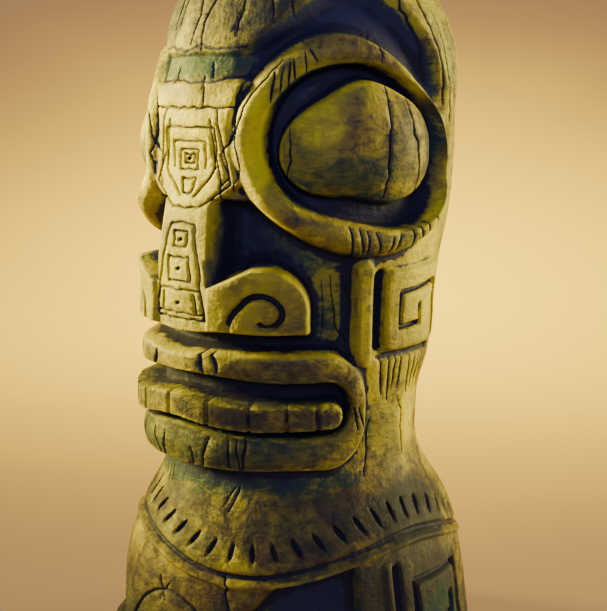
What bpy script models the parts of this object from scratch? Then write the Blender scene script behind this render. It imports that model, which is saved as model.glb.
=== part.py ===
# Ceramic tiki bust, cast in one piece and carved like a short log.
# Metres, +Z up. The origin is on the flat underside, on the axis of the log.
# The face looks toward -Y, and its two halves mirror each other. The collar runs
# round the shoulders in waves that start off the middle.
#
# The surface is a turned log whose radius changes with the angle round the axis
# and with the height. Every cut and every raised form is a change of that radius.
# The carving is sized in parts, with 272 parts to the whole height.

import math

import bmesh
import bpy
import numpy as np

# Whole bust
BUST_HEIGHT = 0.272
HEIGHT_PARTS = 272.0
PART = BUST_HEIGHT / HEIGHT_PARTS

# Log, in parts: height, radius, and how far the section leans toward the face
LOG_STATIONS = (
    (0.0, 70.5, 7.5),
    (17.0, 68.4, 6.8),
    (33.0, 65.9, 5.8),
    (53.0, 61.1, 4.6),
    (66.0, 54.9, 4.0),
    (72.0, 51.0, 4.4),
    (77.0, 48.6, 5.0),
    (84.0, 46.5, 5.8),
    (92.0, 46.0, 6.0),
    (103.0, 46.5, 5.0),
    (122.0, 50.0, 4.0),
    (138.0, 51.0, 3.1),
    (153.0, 52.3, 2.4),
    (171.0, 55.0, 1.8),
    (190.0, 56.0, 1.4),
    (207.0, 56.2, 0.3),
    (226.0, 55.6, -2.4),
    (272.0, 55.6, -2.4),
)
DOME_HEIGHT = 59.0
DOME_START = HEIGHT_PARTS - DOME_HEIGHT
DOME_POWER = 2.08
FOOT_ROUND = 1.5

# Section of every groove, as shares of its width
GROOVE_FLOOR = 0.15
GROOVE_LIP = 0.62

# Brow: the edge of the forehead over the nose and the eyes
BROW_CENTRE_HEIGHT = 225.0
BROW_ARCH_RISE = 19.5
BROW_ARCH_START = 16.0
BROW_PEAK_ANGLE = 66.0
BROW_END_ANGLE = 110.0
BROW_END_DROP = 37.5
BROW_FALL_POWER = 2.0
BROW_FALL_LIMIT = 1.3
BROW_MIDDLE_DEPTH = 1.6
BROW_DEPTH = 8.5
BROW_WALL = 2.4
BROW_SIDE_WALL = 13.0
BROW_DEEP_START = 18.0
BROW_DEEP_ANGLE = 36.0
BROW_SIDE_ANGLE = 46.0
BROW_WALL_SHIFT = 0.2
FACE_EDGE_ANGLE = 113.0
FACE_EDGE_WALL = 5.0
FACE_SHALLOW_ANGLE = 96.0
FACE_SHALLOW_SHARE = 0.75

# Cheek, the hollow ground between eye, nose, mouth and ear
CHEEK_DEPTH = 3.6
CHEEK_END_ANGLE = 60.0
CHEEK_END_WALL = 6.0
CHEEK_FOOT = 94.8
CHEEK_FULL = 125.8
CHEEK_TOP = 172.0
CHEEK_BLEND = 20.0

# Eye: outlines as a mean radius and the waves that shape it, round its centre
EYE_ANGLE = 66.0
EYE_HEIGHT = 195.5
RIM_OUTLINE = (39.1, -4.1, -1.7, 2.8, -3.7, -0.4, -0.9, 0.6, -0.4)
SOCKET_OUTLINE = (30.5, 0.8, -1.4, 4.2, -2.9, -0.3, -1.5, -0.1, -0.5)
EYEBALL_OUTLINE = (24.5, 1.2, -0.2, 5.2, -0.2, -0.4, -1.7, 0.8, 0.2)
RIM_RAISE = 0.7
RIM_LOWER_GAIN = 3.0
RIM_UPPER_LOSS = 2.0
RIM_NOSE_LOSS = 1.3
RIM_CHANGE_START = 8.0
RIM_CHANGE_END = 25.0
RIM_EDGE = 3.2
RIM_BULGE = 1.0
RIM_CROWN = 12.0
SOCKET_DEPTH = 9.0
SOCKET_WALL = 2.4
EYEBALL_EDGE_RADIUS = 54.8
EYEBALL_BULGE = 8.0
EYEBALL_POWER = 2.4
EYEBALL_WALL = 3.0

# Nose: a flat panel between the eyes over a strip that runs down to the mouth
NOSE_STATIONS = (
    (130.0, 60.4),
    (141.0, 61.4),
    (153.0, 61.0),
    (162.0, 60.0),
    (172.0, 58.2),
    (181.0, 56.0),
    (190.0, 55.2),
    (203.0, 55.6),
    (216.0, 54.2),
)
NOSE_PANEL_HALF = 30.0
NOSE_PANEL_TOP = 216.0
NOSE_PANEL_BOTTOM = 176.5
NOSE_TAPER_START = 14.0
NOSE_TAPER_SLOPE = 0.55
NOSE_FLATNESS = 0.55
NOSE_STRIP_HALF = 12.8
NOSE_STRIP_BOTTOM = 131.6
NOSE_WALL = 2.4
NOSE_CORNER = 2.0
NOSE_FLAT_START = 168.0
NOSE_FLAT_END = 182.0

# Nostril hollow beside the strip
NOSTRIL_RADIUS = 44.5
NOSTRIL_OUTER_RADIUS = 50.0
NOSTRIL_START = 18.0
NOSTRIL_END = 40.0
NOSTRIL_TOP = 176.0
NOSTRIL_WALL = 3.0
NOSTRIL_END_WALL = 10.0

# Wing: the scrolled lobe beside the nose strip
WING_RADIUS = 54.0
WING_FORWARD = 9.2
WING_END_ANGLE = 47.2
WING_TOP = 155.3
WING_BOTTOM = 131.4
WING_ROUND = 15.0
WING_LOWER_ROUND = 2.0
WING_SHOULDER_HEIGHT = 149.4
WING_SHOULDER_ANGLE = 14.0
WING_SHOULDER_SLOPE = 0.42
WING_WALL = 3.0
SCROLL_ANGLE = 31.0
SCROLL_HEIGHT = 138.4
SCROLL_REACH = 7.3
SCROLL_TAIL = 5.6
SCROLL_TAIL_TURN = 145.0
SCROLL_CURL = 4.8
SCROLL_CURL_TURN = 20.0
SCROLL_START_TURN = 214.0
SCROLL_END_TURN = -88.0
SCROLL_TAIL_POWER = 1.4
SCROLL_CURL_POWER = 1.2
SCROLL_STEPS = 40
SCROLL_WIDTH = 2.5
SCROLL_DEPTH = 2.4

# Mouth: a ring of lips round a slot with a band of teeth
LIP_RADIUS = 49.6
LIP_FORWARD = 12.4
MOUTH_HEIGHT = 104.8
MOUTH_HALF_WIDTH = 68.6
MOUTH_HALF_HEIGHT = 21.0
MOUTH_ROUND = 17.0
LIP_WALL = 3.4
LIP_BULGE = 1.0
LIP_CROWN = 10.0
SLOT_HEIGHT = 105.8
SLOT_MIDDLE_LIFT = 2.6
SLOT_LIFT_END = 42.0
SLOT_HALF_WIDTH = 62.0
SLOT_HALF_HEIGHT = 9.0
SLOT_DEPTH = 8.0
SLOT_WALL = 2.0
TEETH_RADIUS = 49.0
TEETH_FORWARD = 17.0
TEETH_HEIGHT = 103.7
TEETH_MIDDLE_LIFT = 2.6
TEETH_LIFT_END = 30.0
TEETH_HALF_WIDTH = 58.6
TEETH_HALF_HEIGHT = 4.7
TEETH_ROUND = 4.2
TEETH_WALL = 1.8
TOOTH_GAPS = (0.0, 14.6, 27.8, 39.9, 49.9)
TOOTH_GAP_WIDTH = 1.5
TOOTH_GAP_DEPTH = 1.8

# Ear: a ridge behind the cheek and a panel with a square spiral
EAR_RIDGE_ANGLE = 67.8
EAR_RIDGE_HALF = 3.4
EAR_RIDGE_TOP = 157.0
EAR_RIDGE_BOTTOM = 119.0
EAR_RIDGE_RAISE = 3.0
EAR_RIDGE_WALL = 3.2
EAR_GROOVE_ANGLE = 75.6
EAR_GROOVE_HALF = 2.2
EAR_GROOVE_DEPTH = 4.2
EAR_ANGLE = 95.0
EAR_HALF_WIDTH = 17.2
EAR_HEIGHT = 138.4
EAR_HALF_HEIGHT = 14.2
EAR_ROUND = 3.5
EAR_TILT = 0.07
EAR_PANEL_TILT = 0.035
EAR_RAISE = 1.8
EAR_WALL = 2.0
EAR_SPIRAL_FRONT = 9.8
EAR_SPIRAL_BACK = 14.0
EAR_SPIRAL_TOP = 6.4
EAR_SPIRAL_FLOOR = 6.2
EAR_SPIRAL_END = 2.2
EAR_SPIRAL_WIDTH = 2.4
EAR_SPIRAL_DEPTH = 2.2
EAR_LEDGE_HEIGHT = 122.0
EAR_LEDGE_WIDTH = 3.4
EAR_LEDGE_DEPTH = 1.4

# Collar on the shoulders: a ring of short notches over a raised band
COLLAR_NOTCHES = 50
COLLAR_HEIGHT = 61.8
COLLAR_WAVES = 3
COLLAR_WAVE = 5.4
COLLAR_PEAK_ANGLE = 85.0
NOTCH_LENGTH = 7.0
NOTCH_LEAN = 0.62
NOTCH_WIDTH = 1.8
NOTCH_DEPTH = 1.5
NOTCH_RIM = 0.25
NOTCH_FLOOR = 0.6
BAND_DROP = 7.6
BAND_WIDTH = 2.8
BAND_DEPTH = 1.2
BEAD_DROP = 10.4
BEAD_WIDTH = 2.2
BEAD_RAISE = 0.7

# Chest panels under the band
PANEL_DEPTH = 0.5
PANEL_EDGE = 1.6
PANEL_FOOT_EDGE = 2.0
HOLLOW_START = 34.0
HOLLOW_END = 61.0
HOLLOW_SLANT = 0.85
HOLLOW_TOP = 42.0
HOLLOW_DEPTH = 4.0
HOLLOW_BOTTOM = 12.0
HOLLOW_WALL = 3.0
SIDE_RIDGE_ANGLE = 72.0
SIDE_RIDGE_HALF = 1.3
SIDE_RIDGE_RAISE = 0.8
SIDE_SLOT_ANGLE = 75.6
SIDE_SLOT_HALF = 1.9
SIDE_SLOT_DEPTH = 2.4
SIDE_SLOT_TOP = 50.0
SIDE_SLOT_END = 4.0
SIDE_SPIRAL_ANGLE = 95.0
SIDE_SPIRAL_HEIGHT = 32.0
SIDE_SPIRAL_HALF = 12.0
SIDE_SPIRAL_HALF_HEIGHT = 11.0
SIDE_SPIRAL_GAP = 5.4
SIDE_SPIRAL_END = 1.1
SIDE_SPIRAL_WIDTH = 3.0
SIDE_SPIRAL_DEPTH = 2.2

# Mesh
COLUMNS = 400
ROWS = 330
DOME_ROWS = 70
DOME_CHANGE = 0.68
FAR = 1.0e6
TRIANGLES = 9600
CREASE_ANGLE = math.radians(50.0)

# Glaze
GLAZE_COLOUR = (0.42, 0.36, 0.10, 1.0)
GLAZE_ROUGHNESS = 0.42


def ease(value, start, end):
    """Smooth step from 0 at start to 1 at end."""
    share = np.clip((value - start) / (end - start), 0.0, 1.0)
    return share * share * (3.0 - 2.0 * share)


def inside(distance, wall):
    """Share of a raised or sunk form, from its signed distance and the width of its wall."""
    return ease(distance, -0.5 * wall, 0.5 * wall)


def mix(first, second, share):
    return first + (second - first) * share


def curve(stations, column, value):
    """Smooth curve through one column of a table of stations."""
    heights = np.array([row[0] for row in stations])
    sizes = np.array([row[column] for row in stations])
    slopes = np.gradient(sizes, heights)
    place = np.clip(np.searchsorted(heights, value) - 1, 0, len(heights) - 2)
    span = heights[place + 1] - heights[place]
    share = np.clip((value - heights[place]) / span, 0.0, 1.0)
    start = sizes[place]
    end = sizes[place + 1]
    bend_in = slopes[place] * span
    bend_out = slopes[place + 1] * span
    square = share * share
    cube = square * share
    return (
        (2.0 * cube - 3.0 * square + 1.0) * start
        + (cube - 2.0 * square + share) * bend_in
        + (3.0 * square - 2.0 * cube) * end
        + (cube - square) * bend_out
    )


def rounded_box(across, up, half_width, half_height, corner):
    """Signed distance to a box with round corners, positive inside."""
    beside = np.abs(across) - (half_width - corner)
    above = np.abs(up) - (half_height - corner)
    outer = np.hypot(np.maximum(beside, 0.0), np.maximum(above, 0.0))
    inner = np.minimum(np.maximum(beside, above), 0.0)
    return corner - outer - inner


def outline(across, up, waves):
    """Signed distance to an outline given as a radius with waves round its centre."""
    turn = np.arctan2(up, across)
    radius = np.full_like(turn, waves[0])
    for order in range(1, (len(waves) + 1) // 2):
        radius = radius + waves[2 * order - 1] * np.cos(order * turn)
        radius = radius + waves[2 * order] * np.sin(order * turn)
    return radius - np.hypot(across, up)


def to_path(across, up, points):
    """Distance to a path of straight runs."""
    nearest = np.full(np.shape(across), FAR)
    for (x_start, y_start), (x_end, y_end) in zip(points[:-1], points[1:]):
        run_x = x_end - x_start
        run_y = y_end - y_start
        length_square = run_x * run_x + run_y * run_y
        share = ((across - x_start) * run_x + (up - y_start) * run_y) / length_square
        share = np.clip(share, 0.0, 1.0)
        gap = np.hypot(across - x_start - share * run_x, up - y_start - share * run_y)
        nearest = np.minimum(nearest, gap)
    return nearest


def groove(distance, width, depth):
    """Depth of a round-bottomed groove at a distance from its path."""
    return depth * (1.0 - ease(distance, GROOVE_FLOOR * width, GROOVE_LIP * width))


def round_spiral():
    """Path of the scroll on the wing, from its tail at the bottom to its centre."""
    points = []
    for step in range(SCROLL_STEPS + 1):
        share = step / SCROLL_STEPS
        degrees = SCROLL_START_TURN + (SCROLL_END_TURN - SCROLL_START_TURN) * share
        tail = max(0.0, degrees - SCROLL_TAIL_TURN) / (SCROLL_START_TURN - SCROLL_TAIL_TURN)
        curl = max(0.0, SCROLL_CURL_TURN - degrees) / (SCROLL_CURL_TURN - SCROLL_END_TURN)
        reach = SCROLL_REACH + SCROLL_TAIL * tail ** SCROLL_TAIL_POWER
        reach = reach - SCROLL_CURL * curl ** SCROLL_CURL_POWER
        turn = math.radians(degrees)
        points.append((SCROLL_ANGLE + reach * math.cos(turn), SCROLL_HEIGHT + reach * math.sin(turn)))
    return points


def side_spiral():
    """Path of the square spiral on the chest, round its own middle, from its back corner."""
    wide = SIDE_SPIRAL_HALF
    tall = SIDE_SPIRAL_HALF_HEIGHT
    inner = SIDE_SPIRAL_GAP
    return [
        (wide, -tall),
        (wide, tall),
        (-wide, tall),
        (-wide, inner - tall),
        (wide - inner, inner - tall),
        (wide - inner, SIDE_SPIRAL_END),
    ]


def log_radius(angle, height):
    """Radius of the bare log, with its dome and its eased foot."""
    radius = curve(LOG_STATIONS, 1, height)
    lean = curve(LOG_STATIONS, 2, height) / radius
    rise = np.clip((height - DOME_START) / DOME_HEIGHT, 0.0, 1.0)
    radius = radius * (1.0 - rise ** DOME_POWER) ** (1.0 / DOME_POWER)
    drop = np.clip(1.0 - height / FOOT_ROUND, 0.0, 1.0)
    radius = radius - FOOT_ROUND * (1.0 - np.sqrt(1.0 - drop * drop))
    return radius * (1.0 + lean * np.cos(np.radians(angle)))


def brow_height(side):
    """Height of the brow edge at an angle from the middle of the face."""
    rise = BROW_ARCH_RISE * ease(side, BROW_ARCH_START, BROW_PEAK_ANGLE)
    beyond = np.clip((side - BROW_PEAK_ANGLE) / (BROW_END_ANGLE - BROW_PEAK_ANGLE), 0.0, BROW_FALL_LIMIT)
    return BROW_CENTRE_HEIGHT + rise - BROW_END_DROP * beyond ** BROW_FALL_POWER


def cut_face(radius, side, height):
    """Ground of the face, set back under the brow and at the cheeks."""
    under_brow = mix(BROW_MIDDLE_DEPTH, BROW_DEPTH, ease(side, BROW_DEEP_START, BROW_DEEP_ANGLE))
    under_brow = under_brow * (1.0 - FACE_SHALLOW_SHARE * ease(side, FACE_SHALLOW_ANGLE, FACE_EDGE_ANGLE))
    cheek = CHEEK_DEPTH * (1.0 - ease(side, CHEEK_END_ANGLE, CHEEK_END_ANGLE + CHEEK_END_WALL))
    cheek = cheek * ease(height, CHEEK_FOOT, CHEEK_FULL)
    depth = mix(cheek, under_brow, ease(height, CHEEK_TOP, CHEEK_TOP + CHEEK_BLEND))
    wall = mix(BROW_WALL, BROW_SIDE_WALL, ease(side, BROW_ARCH_START, BROW_SIDE_ANGLE))
    edge = inside(brow_height(side) - height + BROW_WALL_SHIFT * (wall - BROW_WALL), wall)
    edge = edge * (1.0 - ease(side, FACE_EDGE_ANGLE, FACE_EDGE_ANGLE + FACE_EDGE_WALL))
    return radius - depth * edge


def carve_eye(radius, bare, side, height):
    """Rim, socket and eyeball."""
    across = side - EYE_ANGLE
    up = height - EYE_HEIGHT
    rim_inside = outline(across, up, RIM_OUTLINE)
    socket_inside = outline(across, up, SOCKET_OUTLINE)
    ball_inside = outline(across, up, EYEBALL_OUTLINE)
    rim = bare + RIM_RAISE + RIM_LOWER_GAIN * ease(-up, RIM_CHANGE_START, RIM_CHANGE_END)
    rim = rim - RIM_UPPER_LOSS * ease(up, RIM_CHANGE_START, RIM_CHANGE_END)
    rim = rim - RIM_NOSE_LOSS * ease(-across, RIM_CHANGE_START, RIM_CHANGE_END)
    middle = 1.0 - np.clip(np.abs(rim_inside + socket_inside) / RIM_CROWN, 0.0, 1.0) ** 2
    rim = rim + RIM_BULGE * middle
    radius = mix(radius, np.maximum(rim, radius), inside(rim_inside, RIM_EDGE))
    radius = radius - SOCKET_DEPTH * inside(socket_inside, SOCKET_WALL)
    reach = np.hypot(across, up) / np.maximum(ball_inside + np.hypot(across, up), 1.0)
    ball = EYEBALL_EDGE_RADIUS + EYEBALL_BULGE * (1.0 - np.clip(reach, 0.0, 1.0) ** EYEBALL_POWER)
    return mix(radius, ball, inside(ball_inside, EYEBALL_WALL))


def carve_nose(radius, side, height):
    """Nostril hollow, wing with its scroll, panel and strip."""
    hollow = mix(NOSTRIL_RADIUS, NOSTRIL_OUTER_RADIUS, ease(side, NOSTRIL_START, NOSTRIL_END))
    near = inside(NOSTRIL_TOP - height, NOSTRIL_WALL) * inside(height - WING_BOTTOM, NOSTRIL_WALL)
    near = near * (1.0 - ease(side, NOSTRIL_END, NOSTRIL_END + NOSTRIL_END_WALL))
    rim_inside = outline(side - EYE_ANGLE, height - EYE_HEIGHT, RIM_OUTLINE)
    near = near * (1.0 - inside(rim_inside, RIM_EDGE))
    radius = mix(radius, hollow, near)

    wing_middle = 0.5 * (WING_TOP + WING_BOTTOM)
    wing_half = 0.5 * (WING_TOP - WING_BOTTOM)
    wing_inside = rounded_box(side, height - wing_middle, WING_END_ANGLE, wing_half, WING_LOWER_ROUND)
    top_half = WING_TOP - WING_BOTTOM
    top_inside = rounded_box(side, height - WING_BOTTOM, WING_END_ANGLE, top_half, WING_ROUND)
    slope = WING_SHOULDER_HEIGHT + WING_SHOULDER_SLOPE * (side - WING_SHOULDER_ANGLE)
    slope_inside = (slope - height) / math.hypot(1.0, WING_SHOULDER_SLOPE)
    wing_inside = np.minimum(np.minimum(wing_inside, top_inside), slope_inside)
    wing = WING_RADIUS + WING_FORWARD * np.cos(np.radians(side))
    wing = wing - groove(to_path(side, height, round_spiral()), SCROLL_WIDTH, SCROLL_DEPTH)
    radius = mix(radius, wing, inside(wing_inside, WING_WALL))

    nose = curve(NOSE_STATIONS, 1, np.clip(height, NOSE_STATIONS[0][0], NOSE_STATIONS[-1][0]))
    flat = 1.0 / np.cos(np.radians(NOSE_FLATNESS * np.minimum(side, NOSE_PANEL_HALF)))
    panel_middle = 0.5 * (NOSE_PANEL_TOP + NOSE_PANEL_BOTTOM)
    panel_half = 0.5 * (NOSE_PANEL_TOP - NOSE_PANEL_BOTTOM)
    panel_inside = rounded_box(side, height - panel_middle, NOSE_PANEL_HALF, panel_half, NOSE_CORNER)
    taper = NOSE_PANEL_BOTTOM + NOSE_TAPER_SLOPE * (side - NOSE_TAPER_START)
    panel_inside = np.minimum(panel_inside, (height - taper) / math.hypot(1.0, NOSE_TAPER_SLOPE))
    strip_middle = 0.5 * (NOSE_PANEL_TOP + NOSE_STRIP_BOTTOM)
    strip_half = 0.5 * (NOSE_PANEL_TOP - NOSE_STRIP_BOTTOM)
    strip_inside = rounded_box(side, height - strip_middle, NOSE_STRIP_HALF, strip_half, NOSE_CORNER)
    nose_inside = np.maximum(panel_inside, strip_inside)
    flat = mix(1.0, flat, ease(height, NOSE_FLAT_START, NOSE_FLAT_END))
    panel_share = inside(nose_inside, NOSE_WALL) * (1.0 - inside(rim_inside - RIM_BULGE, RIM_EDGE))
    return mix(radius, nose * flat, panel_share)


def carve_mouth(radius, side, height):
    """Lips, slot and teeth."""
    forward = np.cos(np.radians(side))
    slot_height = SLOT_HEIGHT + SLOT_MIDDLE_LIFT * (1.0 - ease(side, 0.0, SLOT_LIFT_END))
    teeth_height = TEETH_HEIGHT + TEETH_MIDDLE_LIFT * (1.0 - ease(side, 0.0, TEETH_LIFT_END))
    lips_inside = rounded_box(
        side, height - MOUTH_HEIGHT, MOUTH_HALF_WIDTH, MOUTH_HALF_HEIGHT, MOUTH_ROUND
    )
    slot_inside = rounded_box(
        side, height - slot_height, SLOT_HALF_WIDTH, SLOT_HALF_HEIGHT, SLOT_HALF_HEIGHT
    )
    teeth_inside = rounded_box(
        side, height - teeth_height, TEETH_HALF_WIDTH, TEETH_HALF_HEIGHT, TEETH_ROUND
    )
    lips = LIP_RADIUS + LIP_FORWARD * forward
    middle = 1.0 - np.clip(np.abs(lips_inside + slot_inside) / LIP_CROWN, 0.0, 1.0) ** 2
    lips = lips + LIP_BULGE * middle
    radius = mix(radius, np.maximum(lips, radius), inside(lips_inside, LIP_WALL))
    radius = radius - SLOT_DEPTH * inside(slot_inside, SLOT_WALL)
    teeth = TEETH_RADIUS + TEETH_FORWARD * forward
    for gap in TOOTH_GAPS:
        teeth = teeth - groove(np.abs(side - gap), TOOTH_GAP_WIDTH, TOOTH_GAP_DEPTH)
    return mix(radius, teeth, inside(teeth_inside, TEETH_WALL))


def carve_ear(radius, side, height):
    """Ridge, groove and spiral panel."""
    ridge_middle = 0.5 * (EAR_RIDGE_TOP + EAR_RIDGE_BOTTOM)
    ridge_half = 0.5 * (EAR_RIDGE_TOP - EAR_RIDGE_BOTTOM)
    ridge_inside = rounded_box(
        side - EAR_RIDGE_ANGLE, height - ridge_middle, EAR_RIDGE_HALF, ridge_half, EAR_RIDGE_HALF
    )
    radius = radius + EAR_RIDGE_RAISE * inside(ridge_inside, EAR_RIDGE_WALL)
    across = side - EAR_ANGLE
    up = height - EAR_HEIGHT
    groove_inside = rounded_box(
        side - EAR_GROOVE_ANGLE, up, EAR_GROOVE_HALF, EAR_HALF_HEIGHT, EAR_GROOVE_HALF
    )
    radius = radius - EAR_GROOVE_DEPTH * inside(groove_inside, EAR_WALL)
    panel_up = up - EAR_PANEL_TILT * across
    panel_inside = rounded_box(across, panel_up, EAR_HALF_WIDTH, EAR_HALF_HEIGHT, EAR_ROUND)
    ledge = [(EAR_GROOVE_ANGLE, EAR_LEDGE_HEIGHT), (EAR_ANGLE + EAR_HALF_WIDTH, EAR_LEDGE_HEIGHT)]
    radius = radius - groove(to_path(side, height, ledge), EAR_LEDGE_WIDTH, EAR_LEDGE_DEPTH)
    spiral = [
        (EAR_SPIRAL_BACK, -EAR_HALF_HEIGHT),
        (EAR_SPIRAL_BACK, EAR_SPIRAL_TOP),
        (-EAR_SPIRAL_FRONT, EAR_SPIRAL_TOP),
        (-EAR_SPIRAL_FRONT, -EAR_SPIRAL_FLOOR),
        (EAR_SPIRAL_END, -EAR_SPIRAL_FLOOR),
        (EAR_SPIRAL_END, 0.0),
    ]
    to_spiral = to_path(across, up - EAR_TILT * across, spiral)
    raise_by = EAR_RAISE - groove(to_spiral, EAR_SPIRAL_WIDTH, EAR_SPIRAL_DEPTH)
    return radius + raise_by * inside(panel_inside, EAR_WALL)


def collar_height(angle):
    """Height of the ring of notches, which rises toward the shoulders."""
    return COLLAR_HEIGHT + COLLAR_WAVE * np.cos(np.radians(COLLAR_WAVES * (angle - COLLAR_PEAK_ANGLE)))


def carve_chest(radius, angle, side, height):
    """Collar of notches, raised band, sunk panels and side spirals."""
    ring = collar_height(angle)
    step = 360.0 / COLLAR_NOTCHES
    beside = (angle + 0.5 * step) % step - 0.5 * step
    up = height - ring
    lean = NOTCH_LEAN * np.sin(np.radians(COLLAR_WAVES * (angle - COLLAR_PEAK_ANGLE)))
    beside = beside - lean * up
    lens = 1.0 - (2.0 * beside / NOTCH_WIDTH) ** 2 - (2.0 * up / NOTCH_LENGTH) ** 2
    radius = radius - NOTCH_DEPTH * ease(lens, -NOTCH_RIM, NOTCH_FLOOR)

    radius = radius - groove(np.abs(height - ring + BAND_DROP), BAND_WIDTH, BAND_DEPTH)
    bead = ring - BEAD_DROP
    radius = radius + groove(np.abs(height - bead), BEAD_WIDTH, BEAD_RAISE)
    below = inside(bead - 0.5 * BEAD_WIDTH - height, PANEL_EDGE)
    radius = radius - PANEL_DEPTH * below
    start = HOLLOW_START + HOLLOW_SLANT * (height - HOLLOW_TOP)
    hollow_inside = np.minimum(side - start, HOLLOW_END - side)
    hollow_inside = np.minimum(hollow_inside, height - HOLLOW_BOTTOM)
    radius = radius - HOLLOW_DEPTH * inside(hollow_inside, HOLLOW_WALL) * below
    panel = below * inside(height - HOLLOW_BOTTOM, PANEL_FOOT_EDGE)
    ridge = groove(np.abs(side - SIDE_RIDGE_ANGLE), 2.0 * SIDE_RIDGE_HALF, SIDE_RIDGE_RAISE)
    slot = groove(np.abs(side - SIDE_SLOT_ANGLE), 2.0 * SIDE_SLOT_HALF, SIDE_SLOT_DEPTH)
    radius = radius + (ridge - slot) * panel * inside(SIDE_SLOT_TOP - height, SIDE_SLOT_END)
    to_spiral = to_path(side - SIDE_SPIRAL_ANGLE, height - SIDE_SPIRAL_HEIGHT, side_spiral())
    return radius - groove(to_spiral, SIDE_SPIRAL_WIDTH, SIDE_SPIRAL_DEPTH)


def carved_radius(angle, height):
    """Radius of the finished surface, all in parts and degrees from the middle of the face."""
    side = np.abs(angle)
    bare = log_radius(angle, height)
    radius = cut_face(bare, side, height)
    radius = carve_nose(radius, side, height)
    radius = carve_eye(radius, bare, side, height)
    radius = carve_mouth(radius, side, height)
    radius = carve_ear(radius, side, height)
    return carve_chest(radius, angle, side, height)


def row_heights():
    """Heights of the rings of points, closer together toward the top of the dome."""
    wall_rows = np.linspace(0.0, DOME_START + DOME_CHANGE * DOME_HEIGHT, ROWS)
    turn = np.linspace(math.asin(DOME_CHANGE), 0.5 * math.pi, DOME_ROWS)
    dome_rows = DOME_START + DOME_HEIGHT * np.sin(turn)
    return np.concatenate((wall_rows, dome_rows[1:-1]))


def carved_wall():
    """Open skin of the bust: rings of points closed by one point at the top."""
    angles = np.linspace(-180.0, 180.0, COLUMNS, endpoint=False)
    heights = row_heights()
    angle, height = np.meshgrid(angles, heights)
    radius = carved_radius(angle, height)
    turn = np.radians(angle)
    points = np.stack((radius * np.sin(turn), -radius * np.cos(turn), height), axis=-1) * PART
    skin = bmesh.new()
    rings = [[skin.verts.new(point) for point in ring] for ring in points]
    top = skin.verts.new((0.0, 0.0, BUST_HEIGHT))
    for lower, upper in zip(rings[:-1], rings[1:]):
        for here in range(COLUMNS):
            after = (here + 1) % COLUMNS
            skin.faces.new((lower[here], lower[after], upper[after], upper[here]))
    for here in range(COLUMNS):
        after = (here + 1) % COLUMNS
        skin.faces.new((rings[-1][here], rings[-1][after], top))
    mesh = bpy.data.meshes.new("tiki_bust")
    skin.to_mesh(mesh)
    skin.free()
    return mesh


def thin_out(bust):
    """Keep triangles where the carving bends and spend few on the smooth log."""
    count = 2 * len(bust.data.polygons)
    thin = bust.modifiers.new("thin", "DECIMATE")
    thin.ratio = TRIANGLES / count
    bpy.context.view_layer.objects.active = bust
    bust.select_set(True)
    bpy.ops.object.modifier_apply(modifier=thin.name)


def close_underside(mesh):
    """Set the foot level and close it with one flat face."""
    shell = bmesh.new()
    shell.from_mesh(mesh)
    rim = [edge for edge in shell.edges if edge.is_boundary]
    for edge in rim:
        for point in edge.verts:
            point.co.z = 0.0
    bmesh.ops.holes_fill(shell, edges=rim, sides=0)
    bmesh.ops.recalc_face_normals(shell, faces=shell.faces)
    shell.to_mesh(mesh)
    shell.free()


def glaze_material():
    glaze = bpy.data.materials.new("glaze")
    glaze.use_nodes = True
    shader = glaze.node_tree.nodes["Principled BSDF"]
    shader.inputs["Base Color"].default_value = GLAZE_COLOUR
    shader.inputs["Roughness"].default_value = GLAZE_ROUGHNESS
    shader.inputs["Metallic"].default_value = 0.0
    return glaze


def main():
    for old in list(bpy.data.objects):
        bpy.data.objects.remove(old, do_unlink=True)
    bust = bpy.data.objects.new("tiki_bust", carved_wall())
    bpy.context.scene.collection.objects.link(bust)
    thin_out(bust)
    close_underside(bust.data)
    bust.data.materials.append(glaze_material())
    bust.data.shade_smooth()
    bust.data.set_sharp_from_angle(angle=CREASE_ANGLE)


main()
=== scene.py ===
import math

import bpy
import numpy as np
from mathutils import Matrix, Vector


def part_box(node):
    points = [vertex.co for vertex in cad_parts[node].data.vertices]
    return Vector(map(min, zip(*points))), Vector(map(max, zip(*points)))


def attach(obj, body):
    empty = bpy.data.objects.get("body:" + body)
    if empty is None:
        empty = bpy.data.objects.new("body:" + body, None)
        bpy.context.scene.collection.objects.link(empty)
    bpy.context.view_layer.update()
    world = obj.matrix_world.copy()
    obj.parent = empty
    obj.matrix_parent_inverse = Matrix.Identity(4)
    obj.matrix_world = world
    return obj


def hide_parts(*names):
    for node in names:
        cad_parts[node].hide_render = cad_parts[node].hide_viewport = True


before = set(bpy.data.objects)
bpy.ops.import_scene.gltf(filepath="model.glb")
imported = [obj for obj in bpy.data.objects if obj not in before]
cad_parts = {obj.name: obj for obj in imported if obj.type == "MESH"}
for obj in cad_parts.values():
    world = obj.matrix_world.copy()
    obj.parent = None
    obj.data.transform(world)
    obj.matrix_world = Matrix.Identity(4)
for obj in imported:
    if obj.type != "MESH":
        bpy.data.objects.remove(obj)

bl_info = {
    "name": "Ceramic tiki bust",
    "version": (1, 0, 0),
    "blender": (4, 5, 0),
    "location": "3D View > Sidebar > Tiki",
    "description": "Carves and glazes a ceramic tiki bust and lights it on a pale sweep",
    "category": "Object",
}

# The bust is a turned log whose radius changes with the angle round its axis and with
# the height. Angles run in degrees from the middle of the face, which looks toward -Y,
# and are positive toward the bust's own left side, +X. Heights and depths are in parts,
# with 272 parts to the whole height, so one part is a millimetre at the real size.
HEIGHT_PARTS = 272.0
NODE = "tiki_bust"
BOX_LOW, BOX_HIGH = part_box(NODE)
BUST_HEIGHT = BOX_HIGH[2] - BOX_LOW[2]

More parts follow.
